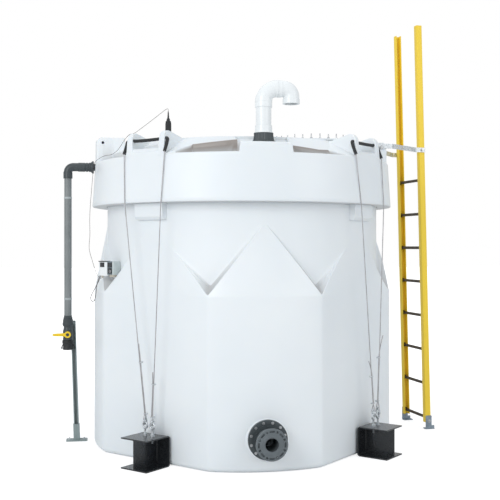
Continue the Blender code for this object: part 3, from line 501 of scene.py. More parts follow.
def spangleMaterial(name):
    # zinc crystals as Voronoi patches of slightly different grey
    material, tree, shader, place = nodeTools(name)
    crystal = tree.nodes.new("ShaderNodeTexVoronoi")
    crystal.inputs["Scale"].default_value = spangleLook["scale"]
    tree.links.new(place, crystal.inputs["Vector"])
    patch = crystal.outputs["Color"]
    colour = rampNode(tree, patch, (0.2, spangleLook["dark"]), (0.8, spangleLook["light"]))
    tree.links.new(colour, shader.inputs["Base Color"])
    tree.links.new(rangeNode(tree, patch, *spangleLook["roughness"], 0, 1),
                   shader.inputs["Roughness"])
    shader.inputs["Metallic"].default_value = spangleLook["metallic"]
    return material


# recessShade is the brown of the painted shade in the groove, on the body's ledges and under the
# rim
polyethyleneLook = {"white": (0.80, 0.835, 0.855), "cool": (0.745, 0.79, 0.82),
                    "recessShade": (0.27, 0.225, 0.195), "roughness": (0.35, 0.46), "cloudScale": 1.3,
                    "peelScale": 90.0, "waveScale": 2.2, "waveRelief": (0.22, 0.012),
                    "peelRelief": (0.05, 0.0006)}
spangleLook = {"light": (0.72, 0.75, 0.77), "dark": (0.50, 0.53, 0.55), "roughness": (0.32, 0.5),
               "scale": 90, "metallic": 0.75}

# relief is its strength and its depth in metres; drift and grain are noise scales
finishes = {
    "blackPaint": {"light": (0.013, 0.016, 0.019), "dark": (0.007, 0.008, 0.010),
                   "roughness": 0.30, "drift": 5, "grain": 140, "relief": (0.08, 0.0008),
                   "coat": 0.3},
    "galvanisedRope": {"light": (0.50, 0.49, 0.50), "dark": (0.33, 0.32, 0.33),
                       "roughness": 0.40, "metallic": 0.45, "drift": 14, "grain": 300,
                       "relief": (0.3, 0.0006)},
    "yellowFibreglass": {"light": (0.93, 0.68, 0.045), "dark": (0.86, 0.60, 0.035),
                         "roughness": 0.42, "drift": 6, "grain": 220, "relief": (0.12, 0.0005),
                         "stretch": (1, 1, 0.08)},
    "rungCoating": {"light": (0.085, 0.060, 0.035), "dark": (0.04, 0.03, 0.02),
                    "roughness": 0.6, "metallic": 0.2, "drift": 25, "grain": 400,
                    "relief": (0.4, 0.001)},
    "greyPipe": {"light": (0.225, 0.245, 0.248), "dark": (0.185, 0.205, 0.208),
                 "roughness": 0.38, "drift": 6, "grain": 180, "relief": (0.06, 0.0005)},
    "darkPipe": {"light": (0.055, 0.068, 0.073), "dark": (0.040, 0.050, 0.055),
                 "roughness": 0.40, "drift": 8, "grain": 180, "relief": (0.08, 0.0005)},
    "whitePipe": {"light": (0.82, 0.85, 0.86), "dark": (0.78, 0.81, 0.82),
                  "roughness": 0.28, "drift": 4, "grain": 120, "relief": (0.04, 0.0004)},
    "blackRubber": {"light": (0.016, 0.018, 0.020), "dark": (0.009, 0.010, 0.011),
                    "roughness": 0.55, "drift": 30, "grain": 260, "relief": (0.25, 0.0006)},
    "yellowLever": {"light": (0.88, 0.62, 0.02), "dark": (0.80, 0.55, 0.02),
                    "roughness": 0.4, "drift": 20, "grain": 200, "relief": (0.1, 0.0004)},
    "postPaint": {"light": (0.30, 0.36, 0.36), "dark": (0.24, 0.29, 0.29),
                  "roughness": 0.5, "metallic": 0.1, "drift": 9, "grain": 200,
                  "relief": (0.15, 0.0006)},
    "footSteel": {"light": (0.30, 0.36, 0.42), "dark": (0.20, 0.25, 0.30),
                  "roughness": 0.42, "metallic": 0.6, "drift": 12, "grain": 220,
                  "relief": (0.2, 0.0006)},
    "brightSteel": {"light": (0.55, 0.56, 0.57), "dark": (0.40, 0.41, 0.42),
                    "roughness": 0.3, "metallic": 0.9, "drift": 30, "grain": 300,
                    "relief": (0.15, 0.0004)},
    "tanSteel": {"light": (0.50, 0.40, 0.27), "dark": (0.34, 0.27, 0.18),
                 "roughness": 0.4, "metallic": 0.5, "drift": 30, "grain": 300,
                 "relief": (0.2, 0.0004)},
    "windowBlack": {"light": (0.02, 0.022, 0.025), "dark": (0.012, 0.013, 0.015),
                    "roughness": 0.18, "drift": 10, "grain": 100, "relief": (0.02, 0.0003),
                    "coat": 0.5},
    "bandPlastic": {"light": (0.42, 0.46, 0.47), "dark": (0.34, 0.38, 0.39),
                    "roughness": 0.45, "drift": 12, "grain": 200, "relief": (0.08, 0.0004)},
    "coverPlastic": {"light": (0.60, 0.66, 0.66), "dark": (0.52, 0.58, 0.58),
                     "roughness": 0.45, "drift": 14, "grain": 200, "relief": (0.08, 0.0004)},
    "relayPlastic": {"light": (0.17, 0.22, 0.25), "dark": (0.12, 0.16, 0.18),
                     "roughness": 0.4, "drift": 14, "grain": 200, "relief": (0.08, 0.0004)},
    "outletPlastic": {"light": (0.120, 0.140, 0.152), "dark": (0.095, 0.112, 0.122),
                      "roughness": 0.42, "drift": 9, "grain": 180, "relief": (0.10, 0.0005)},
    "glandPlastic": {"light": (0.55, 0.52, 0.44), "dark": (0.45, 0.42, 0.35),
                     "roughness": 0.5, "drift": 14, "grain": 200, "relief": (0.08, 0.0004)},
    "wireSheath": {"light": (0.070, 0.055, 0.050), "dark": (0.045, 0.036, 0.034),
                   "roughness": 0.5, "drift": 40, "grain": 400, "relief": (0.1, 0.0003)}}

materials = {name: finishMaterial(name, look) for name, look in finishes.items()}
# the wall and the rim take painted shade from their recessShade attribute
for name, withPaintedShade in (("mouldedPolyethylene", False), ("wallPolyethylene", True),
                      ("rimPolyethylene", True)):
    materials[name] = polyethyleneMaterial(name, withPaintedShade)
materials["galvanisedPlate"] = spangleMaterial("galvanisedPlate")
print("materials ready:", len(materials))


# Body: gables on eight panels, four of them flat, under a round neck

body = {"radius": 1.25, "panelEdge": 20.0, "flat": 1.25 * math.cos(math.radians(25)),
        "neck": 1.143, "bore": 1.10, "peak": 1.81, "valley": 1.271, "floor": 0.06,
        "bottomRound": 0.04, "cornerSoft": 0.006, "crestSoft": 0.012, "ledgeRound": 0.014,
        "footRound": 0.045, "neckTop": 2.2147, "columns": 720, "axisGap": 0.0004,
        "leanSoft": 0.02, "ledgeShade": 0.40, "ledgeShadeWidth": 0.10}
boss = {"z": 0.245, "bore": 0.049, "low": 1.235, "face": 1.2555, "edge": 0.140, "round": 0.014}
padOutline = [(1.12, 1.85), (1.165, 1.838), (1.188, 1.862), (1.190, 1.9645), (1.12, 1.9645)]


def bodyOutline(azimuth):
    # the nearer of the circle and the flat on each diagonal
    fromFlat = azimuth % 90 - 45
    flat = body["flat"] / np.cos(np.radians(fromFlat))
    return softMin(np.full_like(flat, body["radius"]), flat, body["cornerSoft"])


def crownHeight(azimuth, radius):
    # the higher of two gables: peak minus slope times the distance from the panel's middle
    edge = math.radians(body["panelEdge"])
    soft = body["crestSoft"]

    def gable(away, half):
        distance = np.sqrt((radius * np.sin(np.radians(away))) ** 2 + soft ** 2) - soft / 2
        return body["peak"] - (body["peak"] - body["valley"]) / half * distance

    roundGable = gable((azimuth + 45) % 90 - 45, body["radius"] * math.sin(edge))
    flatGable = gable(azimuth % 90 - 45, body["radius"] * math.sin(math.pi / 4 - edge))
    return softMax(roundGable, flatGable, soft)


def quadBend(start, corner, end, count):
    # a quadratic curve from start to end, pulled towards the corner
    share = np.linspace(0, 1, count)[:, None, None]
    return (1 - share) ** 2 * start + 2 * share * (1 - share) * corner + share ** 2 * end


def makeBody():
    # at each azimuth: floor, rounded edge, wall, leaning panel, ledge, fillet, neck and bore
    azimuth = np.arange(body["columns"]) * 360 / body["columns"]
    outer = bodyOutline(azimuth)
    neck = np.full_like(outer, body["neck"])
    valley = body["valley"]
    share = np.clip((crownHeight(azimuth, outer) - valley) / (body["peak"] - valley), 0, 1)
    crest = outer + (neck - outer) * share
    crown = crownHeight(azimuth, crest)
    foot = crownHeight(azimuth, neck)
    step = crest - neck

    def row(radius, height):
        return np.stack([np.broadcast_to(radius, outer.shape),
                         np.broadcast_to(height, outer.shape)], -1)[None]

    turn = body["bottomRound"]
    rows = [row(body["axisGap"], 0), row(0.6, 0), row(outer - turn - 0.05, 0)]
    for angle in np.radians(np.linspace(0, 90, 7)):
        rows.append(row(outer - turn + turn * math.sin(angle), turn - turn * math.cos(angle)))
    edge = body["ledgeRound"]
    bend = np.minimum(valley - 0.02, crown - edge - 0.022)
    for part in np.linspace(0.06, 1, 16):
        rows.append(row(outer, turn + part * (bend - turn)))
    # above the valleys each panel leans in by sqrt(h^2 + s^2) - s, up to the neck at its peak
    leanTop = crown - edge
    soft = body["leanSoft"]
    for part in np.linspace(0.03, 1, 26):
        height = bend + part * (leanTop - bend)
        along = np.clip((height - valley) / np.maximum(leanTop - valley, 0.004), 0, 1)
        lean = (np.sqrt(along ** 2 + soft ** 2) - soft) / (math.sqrt(1 + soft ** 2) - soft)
        rows.append(row(outer + (crest - outer) * lean, height))
    ledge = len(rows)
    near = np.clip(np.abs(step) / 2, 0, edge) * np.sign(step)
    rows.append(quadBend(row(crest, leanTop)[0], row(crest, crown)[0],
                         row(crest - near, crown)[0], 7)[1:])
    wide = np.clip(np.abs(step) / 2, 0, body["footRound"]) * np.sign(step)
    neckFoot = foot + body["footRound"]
    rows.append(quadBend(row(neck + wide, foot)[0], row(neck, foot)[0], row(neck, neckFoot)[0], 9))
    for share in np.linspace(0.08, 1, 12):
        rows.append(row(neck, neckFoot + share * (body["neckTop"] - neckFoot)))
    rows += [row(body["bore"], body["neckTop"]), row(body["bore"], body["floor"]),
             row(body["axisGap"], body["floor"])]
    section = np.concatenate(rows)
    angle = np.radians(azimuth)
    grid = np.stack([section[..., 0] * np.sin(angle), -section[..., 0] * np.cos(angle),
                     section[..., 1]], -1)
    piece = makePiece("tankBody", cappedShape(grid), "wallPolyethylene",
                      replaces=("tank_base", "tank_wall"), angle=50, merge=False)
    # painted shade on the ledges, darkest where they are widest
    width = np.clip(np.abs(step) / body["ledgeShadeWidth"], 0, 1)
    paintedShades = np.zeros(section.shape[:2])
    paintedShades[ledge + 3:ledge + 12] = width ** 2.5 * body["ledgeShade"]
    setPaintedShade(piece, paintedShades)
    return piece


def makeBoss():
    # a flat raised ring on the wall, rolled over at its rim
    low = boss["low"]
    inside = (boss["bore"], low)
    profile = [inside, (boss["bore"], boss["face"]), (boss["edge"], boss["face"])]
    roll = arcPoints((boss["edge"], boss["face"] - boss["round"]), boss["round"], 90, 10)
    profile += roll.tolist()
    profile += [(0.166, low + 0.002), (0.168, low - 0.01)]
    shape = placed(lathe(profile[::-1] + [inside], 72), standing((0, 0, boss["z"]), facingFront))
    makePiece("outletBoss", shape, "mouldedPolyethylene", angle=50)


def makePads():
    # a block under each lug, between the neck and the rim
    shapes = [placed(prism(padOutline, 0.28), toAzimuth(azimuth)) for azimuth in lugAzimuths]
    makePiece("lugPads", joined(*shapes), "mouldedPolyethylene",
              bevel=0.0035, segments=3)


tankBody = makeBody()
cutBore(tankBody, (0, -1.05, boss["z"]), (0, -1.4, boss["z"]), boss["bore"])
makeBoss()
makePads()
print("body ready")


# Rim: one moulding with a groove, four fitting blocks and four tie-down lugs

rim = {"bottomZ": 1.965, "bottomRadius": 1.263, "shoulderZ": 2.326, "shoulderRadius": 1.239,
       "lugRadius": 1.252, "grooveZ": 2.235, "grooveOuter": 1.1985, "grooveInner": 1.1205,
       "undercut": 0.030, "ridgeRadius": 1.115, "crestRadius": 0.98, "crestZ": 2.466,
       "neckGap": 1.150, "blockHalf": 0.195, "lowBlockZ": 2.40, "tallBlockZ": 2.53,
       "lowBlockRound": 0.013, "tallBlockRound": 0.026, "blockFillet": 0.062, "lugHalf": 0.19,
       "cheekInner": 0.135, "cheekFront": 1.2184, "cheekNose": 1.165, "cheekZ": 2.44,
       "noseRise": 0.06, "plateFoot": 2.318, "plateThick": 0.0085, "notchZ": 2.375,
       "lipBack": 1.186, "shoulderRound": 0.012, "wallSoft": 0.006, "plateSoft": 0.008,
       "sidePlate": 0.005}
crossHoles = ({"azimuths": sideAzimuths, "radial": 1.18, "z": 2.488, "reach": 0.30,
               "radius": 0.012},
              {"azimuths": lugAzimuths, "radial": 1.195, "z": 2.44, "reach": 0.24,
               "radius": 0.0131})
features = [(azimuth, "block" if azimuth % 90 == 0 else "lug") for azimuth in range(0, 360, 45)]
knots = np.array([0.98, 1.0, 1.055, 1.115, 1.18, 1.24, 1.275])
wingAngles = np.array([10.4, 11.3, 14.3, 17.6, 13.6, 9.9, 9.6])


def rimColumns():
    # azimuths at each knot radius: a column keeps a sideways distance, or follows a wing's edge
    soft = np.array([-0.014, -0.009, -0.006, -0.004, -0.002, 0, 0.002, 0.004, 0.006, 0.009, 0.014])
    flare = np.array([0.020, 0.028, 0.037, 0.047, 0.058, 0.070, 0.085, 0.10])
    halves = {"block": np.concatenate([[0.04, 0.08, 0.12, 0.16], rim["blockHalf"] + soft,
                                       rim["blockHalf"] + flare]),
              "lug": np.concatenate([[0.035, 0.07, 0.1], rim["cheekInner"] + soft[2:-1],
                                     [0.152, 0.162, 0.171], rim["lugHalf"] + soft])}
    blockEdge = rim["blockHalf"] + flare[-1]
    lugEdge = rim["lugHalf"] + soft[-1]

    def along(azimuth, sideways):
        return azimuth + np.degrees(np.arcsin(sideways / knots))

    def between(left, right, count):
        return [left + (right - left) * share for share in np.linspace(0, 1, count + 2)[1:-1]]

    columns = []
    for azimuth, kind in features:
        half = np.unique(np.round(halves[kind], 4))
        columns += [along(azimuth, value) for value in -half[::-1]]
        columns.append(along(azimuth, 0.0))
        columns += [along(azimuth, value) for value in half]
        # on to the next feature, past the edge of the lug's wing
        following = azimuth + 45
        side = 1 if kind == "lug" else -1
        lug = azimuth if kind == "lug" else following
        wing = [lug + side * (wingAngles + np.degrees(offset / knots))
                for offset in side * np.array([-0.006, -0.003, -0.001, 0.001, 0.003, 0.006])]
        if kind == "lug":
            columns += between(along(azimuth, lugEdge), wing[0], 8) + wing
            columns += between(wing[-1], along(following, -blockEdge), 22)
        else:
            columns += between(along(azimuth, blockEdge), wing[0], 22) + wing
            columns += between(wing[-1], along(following, -lugEdge), 8)
    return np.array(columns).T


def columnAzimuth(columns, radius):
    # straight interpolation of each column between its knots
    low = np.clip(np.searchsorted(knots, radius, side="right") - 1, 0, len(knots) - 2)
    share = (radius - knots[low]) / (knots[low + 1] - knots[low])
    place = np.arange(columns.shape[1])
    return columns[low, place] * (1 - share) + columns[low + 1, place] * share


def apronRadius(azimuth, height):
    # a cone, with a flat plate at each lug and a slightly raised one under each side block
    slope = (rim["bottomRadius"] - rim["shoulderRadius"]) / (rim["shoulderZ"] - rim["bottomZ"])
    cone = rim["bottomRadius"] - slope * (height - rim["bottomZ"])
    fromLug = np.radians(azimuth % 90 - 45)
    plate = (rim["lugRadius"] - slope * (height - rim["bottomZ"])) / np.cos(fromLug)
    sideways = np.abs(plate * np.sin(fromLug))
    onPlate = softStep(rim["lugHalf"] - sideways, rim["plateSoft"])
    fromSide = np.radians(azimuth % 180 - 90)
    onSide = softStep(rim["blockHalf"] - np.abs(cone * np.sin(fromSide)), rim["plateSoft"])
    return cone + (plate - cone) * onPlate + rim["sidePlate"] * onSide


def ridgeHeight(azimuth):
    # high beside the front block's left, lower to its right, and even elsewhere
    turned = (azimuth + 180) % 360 - 180
    return np.interp(turned, [-60, -45, -27, -9, 9, 23, 45, 60],
                     [2.392, 2.392, 2.396, 2.428, 2.392, 2.366, 2.38, 2.392])


def roofSlope(azimuth, radius):
    # straight from the ridge up to the crest
    ridge = ridgeHeight(azimuth)
    reach = (rim["ridgeRadius"] - radius) / (rim["ridgeRadius"] - rim["crestRadius"])
    return ridge + (rim["crestZ"] - ridge) * np.clip(reach, 0, 1)


def wingPlane(lug, side):
    # z = a + b s + c o through the cheek's foot, the valley in the ridge and the crest
    corners = []
    for angle, radius in ((9.9, 1.24), (17.6, 1.115), (11.3, 1.0)):
        if radius > rim["ridgeRadius"]:
            height = rim["shoulderZ"]
        else:
            height = float(roofSlope(np.array(lug + side * angle), np.array(radius)))
        turn = math.radians(angle)
        corners.append((1, radius * math.sin(turn), radius * math.cos(turn), height))
    corners = np.array(corners)
    return np.linalg.solve(corners[:, :3], corners[:, 3])


def grooveEnd(radius, sideways):
    # the groove's floor at a block: a slanted end, with a concave fillet up to the block's side
    fillet = rim["blockFillet"]
    end = rim["blockHalf"] + 0.45 * np.clip(1.2 - radius, 0, 0.08)
    gap = np.clip(sideways - end, 0, fillet)
    return rim["grooveZ"] + 1.5 * (fillet - np.sqrt(fillet ** 2 - (fillet - gap) ** 2))


def blockTop(middle, inset):
    # by the distance in from the apron: a steep wall, then a quarter circle up to a level top
    tall = middle in sideAzimuths
    top = rim["tallBlockZ"] if tall else rim["lowBlockZ"]
    turn = rim["tallBlockRound"] if tall else rim["lowBlockRound"]
    foot = rim["shoulderZ"] - 0.004
    fromEdge = np.clip(inset / turn, 0, 1)
    fromFoot = np.clip(inset / 0.002, 0, 1)
    rounded = top - turn * (1 - np.sqrt(1 - (1 - fromEdge) ** 2))
    return np.minimum(rounded, foot + (top - turn - foot) * fromFoot + turn * fromEdge)


def cheekTop(outward):
    # a thin front plate, a quarter ellipse over the nose, and a slow fall towards the roof
    front = rim["cheekFront"]
    nose = rim["cheekNose"]
    thick = rim["plateThick"]
    arch = np.sqrt(np.clip(1 - ((outward - nose) / (front - nose)) ** 2, 0, 1))
    plate = (rim["plateFoot"]
             + (front + thick - outward) / thick * (rim["cheekZ"] - rim["plateFoot"]))
    back = np.interp(outward, [0.95, 1.0, 1.135, 1.165], [2.455, 2.457, 2.494, 2.50])
    return np.where(outward > front, np.minimum(plate, rim["cheekZ"]),
                    np.where(outward > nose, rim["cheekZ"] + rim["noseRise"] * arch, back))


def notchFloor(radius, outward):
    # between the cheeks: a rolled lip at the front, and a trough behind it
    lip = rim["notchZ"] - 0.03 * (1 - softStep(rim["cheekFront"] - 0.0015 - outward, 0.010))
    behind = np.interp(radius, [0.98, 1.095, 1.102, 1.112, 1.17, 1.178, 1.186],
                       [rim["crestZ"], 2.402, 2.385, 2.335, 2.335, 2.345, rim["notchZ"]])
    return np.where(outward > rim["lipBack"], lip, behind)


def rimHeight(azimuth, radius):
    # groove and roof slope by radius; blocks, cheeks, notches and wings by local distances; also
    # how much painted shade each point gets
    height = np.where(radius > 1.16, rim["shoulderZ"], roofSlope(azimuth, radius))
    inGroove = (softStep(rim["grooveOuter"] - radius, 0.004)
                * softStep(radius - rim["grooveInner"], 0.005))
    floor = np.full_like(radius, rim["grooveZ"])
    # painted shade over the groove, from just inside its inner wall out to its outer edge
    paintedShade = softStep(radius - rim["grooveInner"] + 0.008, 0.003) * (radius < rim["grooveOuter"])
    blocks, lugs, wings, unshaded = np.zeros((4,) + radius.shape)
    wing, lugHeight, blockHeight = np.zeros((3,) + radius.shape)
    soft = rim["wallSoft"]
    inset = apronRadius(azimuth, rim["shoulderZ"]) - radius
    for middle, kind in features:
        away = (azimuth - middle + 180) % 360 - 180
        near = np.abs(away) < 32
        sideways = np.abs(radius * np.sin(np.radians(away)))
        outward = radius * np.cos(np.radians(away))
        if kind == "block":
            floor = np.where(near, np.maximum(floor, grooveEnd(radius, sideways)), floor)
            inside = softStep(rim["blockHalf"] - sideways, soft) * near
            if middle in sideAzimuths:
                inside = inside * softStep(outward - 1.0, 0.006)
            blockHeight = np.where(inside > 0, blockTop(middle, inset), blockHeight)
            blocks = np.maximum(blocks, inside)
            continue
        inside = softStep(rim["lugHalf"] - sideways, soft) * near
        inNotch = softStep(rim["cheekInner"] - sideways, soft)
        notch = notchFloor(radius, outward)
        cheek = cheekTop(outward)
        lugHeight = np.where(inside > 0, notch + (cheek - notch) * (1 - inNotch), lugHeight)
        lugs = np.maximum(lugs, inside)
        # the wing closes the groove on a slant and sweeps up into the cheek's side
        beyond = np.radians(np.abs(away) - np.interp(radius, knots, wingAngles)) * radius
        for side in (-1, 1):
            a, b, c = wingPlane(middle, side)
            here = (side * away > 5) * near
            onWing = softStep(-beyond, 0.002) * here
            wing = np.where(onWing > 0, a + b * sideways + c * outward, wing)
            wings = np.maximum(wings, onWing)
            # the wing's face keeps no painted shade
            unshaded = np.maximum(unshaded, softStep(-beyond - 0.0022, 0.0006) * here)
    height = height + (floor - height) * inGroove
    height = height + (wing - height) * wings
    height = height + (blockHeight - height) * blocks
    height = height + (lugHeight - height) * lugs
    openShare = (1 - wings) * (1 - blocks) * (1 - lugs)
    # the painted shade is paler low down in the groove, and none falls on wings, blocks or lugs
    fade = 0.30 + 0.70 * np.clip((height - 2.320) / 0.045, 0, 1)
    return height, paintedShade * (1 - unshaded) * (1 - blocks) * (1 - lugs) * fade, openShare


def paintedShadeShare(azimuth):
    # the groove's painted shade is darkest at the front and pale beside the side blocks
    turned = np.abs((azimuth + 180) % 360 - 180)
    return np.interp(turned, [0, 38, 50, 85, 100, 180], [0.9, 0.85, 0.22, 0.18, 0.4, 0.5])


def makeRim():
    # outside rows up the apron, rows across the top, then back underneath: one closed ring
    columns = rimColumns()
    count = columns.shape[1]
    rows = []
    paintedShades = []

    def addRow(radius, height, paintedShade=0.0, shift=0.0):
        radius = np.broadcast_to(radius, (count,)).astype(float)
        angle = np.radians(columnAzimuth(columns, radius))
        reach = radius - shift
        rows.append(np.stack([reach * np.sin(angle), -reach * np.cos(angle),
                              np.broadcast_to(height, (count,))], -1))
        paintedShades.append(np.broadcast_to(paintedShade, (count,)))

    def addTopRow(radius, offset=None):
        azimuth = columnAzimuth(columns, radius)
        height, paintedShade, openShare = rimHeight(azimuth, radius)
        if offset is not None:
            turn = rim["shoulderRound"]
            fall = turn - np.sqrt(turn ** 2 - np.clip(turn - offset, 0, turn) ** 2)
            height = np.where(height < rim["shoulderZ"] + 0.003, height - fall, height)
        ridge = ridgeHeight(azimuth)
        depth = 1 - np.clip((height - rim["grooveZ"]) / (ridge - rim["grooveZ"]), 0, 1)
        reach = np.clip((1.19 - radius) / 0.06, 0, 1) * (radius > 1.105)
        shift = rim["undercut"] * depth * reach * openShare
        # the groove's painted shade, scaled by azimuth
        addRow(radius, height, paintedShade * paintedShadeShare(azimuth), shift)

    bottom = rim["bottomZ"]
    start = columnAzimuth(columns, np.full(count, 1.25))
    # painted shade under the rim: on its underside and along the apron's lower edge
    for radius in (rim["neckGap"], 1.19, 1.225):
        addRow(radius, bottom, 0.30)
    for inset, rise, underShade in ((0.010, 0.0, 0.28), (0.005, 0.001, 0.2), (0.002, 0.0035, 0.0),
                              (0.0, 0.008, 0.0)):
        addRow(apronRadius(start, bottom) - inset, bottom + rise, underShade)
    for height in (2.0, 2.05, 2.10, 2.15, 2.20, 2.25, 2.29, 2.305, 2.314):
        addRow(apronRadius(start, height), height)
    outer = apronRadius(start, rim["shoulderZ"])
    scale = (outer - 1.203) / 0.036
    for offset in (0.0004, 0.001, 0.002, 0.003, 0.0045, 0.006, 0.008, 0.010, 0.0125, 0.016, 0.021,
                   0.028, 0.036):
        addTopRow(outer - offset * scale, offset)
    for radius in (1.2015, 1.200, 1.1985, 1.197, 1.195, 1.192, 1.188, 1.184, 1.180, 1.175, 1.168,
                   1.160, 1.150, 1.140, 1.133, 1.129, 1.126, 1.1235, 1.121, 1.1185, 1.116, 1.113,
                   1.109, 1.103, 1.095, 1.085, 1.072, 1.058, 1.044, 1.03, 1.018, 1.012, 1.007,
                   1.003, 1.000, 0.997, 0.993, 0.988, 0.984, 0.980):
        addTopRow(np.full(count, radius))
    for radius, height in ((0.98, 2.445), (1.065, 2.375), (1.068, 2.2155), (1.212, 2.2155),
                           (1.236, 1.99), (rim["neckGap"], 1.99)):
        addRow(radius, height)
    shape = gridShape(np.stack(rows), wrapRows=True, wrapColumns=True)
    piece = makePiece("rimMoulding", shape, "rimPolyethylene",
                      replaces=("skirt",), angle=60, merge=False)
    setPaintedShade(piece, np.stack(paintedShades))
    return piece


rimMoulding = makeRim()
for hole in crossHoles:
    for azimuth in hole["azimuths"]:
        turned = toAzimuth(azimuth)
        ends = [turned @ Vector((reach, -hole["radial"], hole["z"]))
                for reach in (-hole["reach"], hole["reach"])]
        cutBore(rimMoulding, *ends, hole["radius"], 24)
print("rim ready:", len(rimMoulding.data.polygons), "faces")


# Roof, manway and vent

dome = {"radius": 0.9797, "top": 2.478, "fall": 0.013, "thick": 0.02, "hole": 0.3053}
manway = {"middle": (0.5989, -0.1605), "bore": 0.29, "neck": 0.305, "flange": 0.395,
          "studCircle": 0.36, "studs": 32, "studRadius": 0.0048, "studTop": 2.555}


def makeRoof():
    # z falls from the middle to the rim's crest as the distance to the power 1.7
    radius = np.linspace(0, dome["radius"], 26)
    height = dome["top"] - dome["fall"] * (radius / dome["radius"]) ** 1.7
    under = np.stack([radius[::-1], height[::-1] - dome["thick"]], -1)
    profile = np.vstack([np.stack([radius, height], -1), under])
    roof = makePiece("roofDome", lathe(profile, 120), "mouldedPolyethylene",
                     replaces=("roof",), angle=50)
    cutBore(roof, (*manway["middle"], 2.40), (*manway["middle"], 2.52), dome["hole"], 96)


def makeManway():
    # a short neck under a flange, a gasket, and a lid held by studs and nuts all round
    place = Matrix.Translation((*manway["middle"], 0))
    bore = manway["bore"]
    neck = manway["neck"]
    flange = manway["flange"]
    ring = [(bore, 2.43), (neck, 2.43), (neck, 2.472), (neck + 0.003, 2.480),
            (neck + 0.010, 2.4848), (flange - 0.004, 2.485), (flange - 0.001, 2.4862),
            (flange, 2.489), (flange, 2.494), (flange - 0.002, 2.497), (bore, 2.497)]
    makePiece("manwayRing", placed(ringLathe(ring, 128), place), "mouldedPolyethylene",
              replaces=("manway_ring",))
    gasket = [(bore - 0.002, 2.4971), (flange - 0.0025, 2.4971), (flange - 0.0015, 2.4985),
              (flange - 0.0025, 2.4999), (bore - 0.002, 2.4999)]
    makePiece("manwayGasket", placed(ringLathe(gasket, 128), place), "blackRubber")
    lid = [(0, 2.500), (flange - 0.002, 2.500), (flange, 2.502), (flange, 2.5115),
           (flange - 0.003, 2.5145), (0.325, 2.5148), (0.316, 2.5165), (0.308, 2.5185),
           (0.15, 2.5205), (0, 2.521)]
    makePiece("manwayLid", placed(lathe(lid, 128), place), "mouldedPolyethylene",
              replaces=("manway_lid",))
    rods = []
    nuts = []
    halfStep = 180 / manway["studs"]
    spots = roundSpots(place, manway["studCircle"], manway["studs"], halfStep, 1.7)
    for index, spot in enumerate(spots):
        top = manway["studTop"] + 0.003 * math.sin(index * 2.3)
        rods.append(placed(threadRod(manway["studRadius"], 2.482, top, 0.004, 8), spot))
        nuts.append(placed(washer(0.004, 0.013, 2.5146, 2.5164, 14), spot))
        nuts.append(placed(hexNut(0.0105, 2.5164, 2.5250), spot))
    makePiece("manwayStuds", joined(*rods), "brightSteel", angle=50)
    makePiece("manwayNuts", joined(*nuts), "brightSteel", angle=25)


vent = {"y": -1.09, "pipe": 0.0572, "bore": 0.0512, "socket": 0.0635, "elbow": 0.0602,
        "crossZ": 2.8063, "riseBend": 0.098, "mouthX": 0.208, "mouthBend": 0.0575}


def makeVent():
    # black ribbed base, white pipe between two couplings, a long elbow and a short one
    place = Matrix.Translation((0, vent["y"], 0))
    flange = [(0.0, 2.4003), (0.088, 2.4003), (0.090, 2.402), (0.090, 2.4135), (0.088, 2.416),
              (0.080, 2.4165), (0.0, 2.4165)]
    height = np.linspace(2.4162, 2.4750, 14)
    width = np.interp(height, [2.4162, 2.424, 2.462, 2.468, 2.475],
                      [0.0785, 0.076, 0.0705, 0.0715, 0.0705])
    ribs = ribbedPost(height, width, 24, 0.022)
    makePiece("ventBase", placed(joined(lathe(flange, 72), ribs), place), "darkPipe",
              replaces=("vent_base",))

    def ventPart(name, node, path, base, collars):
        radius = steppedRadius(path, base, collars)
        makePiece(name, placed(hollowSweep(path, radius, vent["bore"], 72), place), "whitePipe",
                  replaces=(node,))

    socket = vent["socket"]
    ventPart("ventPipe", "vent_pipe", upPath(np.linspace(2.4753, 2.7052, 150)), vent["pipe"],
             [(-1, 0.056, socket), (0.190, 2, socket), (-1, 0.004, 0.0665)])
    bend = vent["riseBend"]
    rise = np.linspace(0, math.pi / 2, 110)
    path = np.stack([bend - bend * np.cos(rise), 0 * rise, 2.7083 + bend * np.sin(rise)], -1)
    path = np.vstack([[(0, 0, 2.7055)], path, [(0.1036, 0, vent["crossZ"])]])
    ventPart("ventElbowRise", "vent_elbow_rise", path, vent["elbow"],
             [(-1, 0.034, 0.0637), (0.128, 2, 0.0632)])
    path = elbowPath(0.1046, vent["mouthX"], vent["mouthBend"], vent["crossZ"], 2.6963,
                     (24, 60, 40))
    mouth = travelled(path)[-1] - 0.036
    ventPart("ventElbowMouth", "vent_elbow_mouth", path, vent["elbow"],
             [(-1, 0.030, 0.0636), (mouth, 9, 0.0636)])


makeRoof()
makeManway()
makeVent()
print("roof, manway and vent ready")


# Level sensor and its wire to the alarm

sensor = {"place": (-0.6764, -0.6670), "radius": 0.0225, "lean": -0.0003}
wireRoute = [(-0.6764, -0.6670, 2.6836), (-0.6775, -0.6675, 2.700), (-0.697, -0.668, 2.697),
             (-0.790, -0.672, 2.622), (-0.930, -0.680, 2.513), (-0.972, -0.632, 2.5035),
             (-1.010, -0.560, 2.470), (-1.060, -0.440, 2.405), (-1.110, -0.300, 2.380),
             (-1.165, -0.238, 2.375), (-1.220, -0.232, 2.345), (-1.2535, -0.236, 2.300),
             (-1.262, -0.240, 2.200), (-1.272, -0.244, 2.080), (-1.281, -0.248, 1.965),
             (-1.285, -0.270, 1.850), (-1.283, -0.290, 1.730), (-1.288, -0.310, 1.620),
             (-1.262, -0.340, 1.520), (-1.232, -0.385, 1.430), (-1.205, -0.415, 1.388),
             (-1.190, -0.428, 1.3875)]


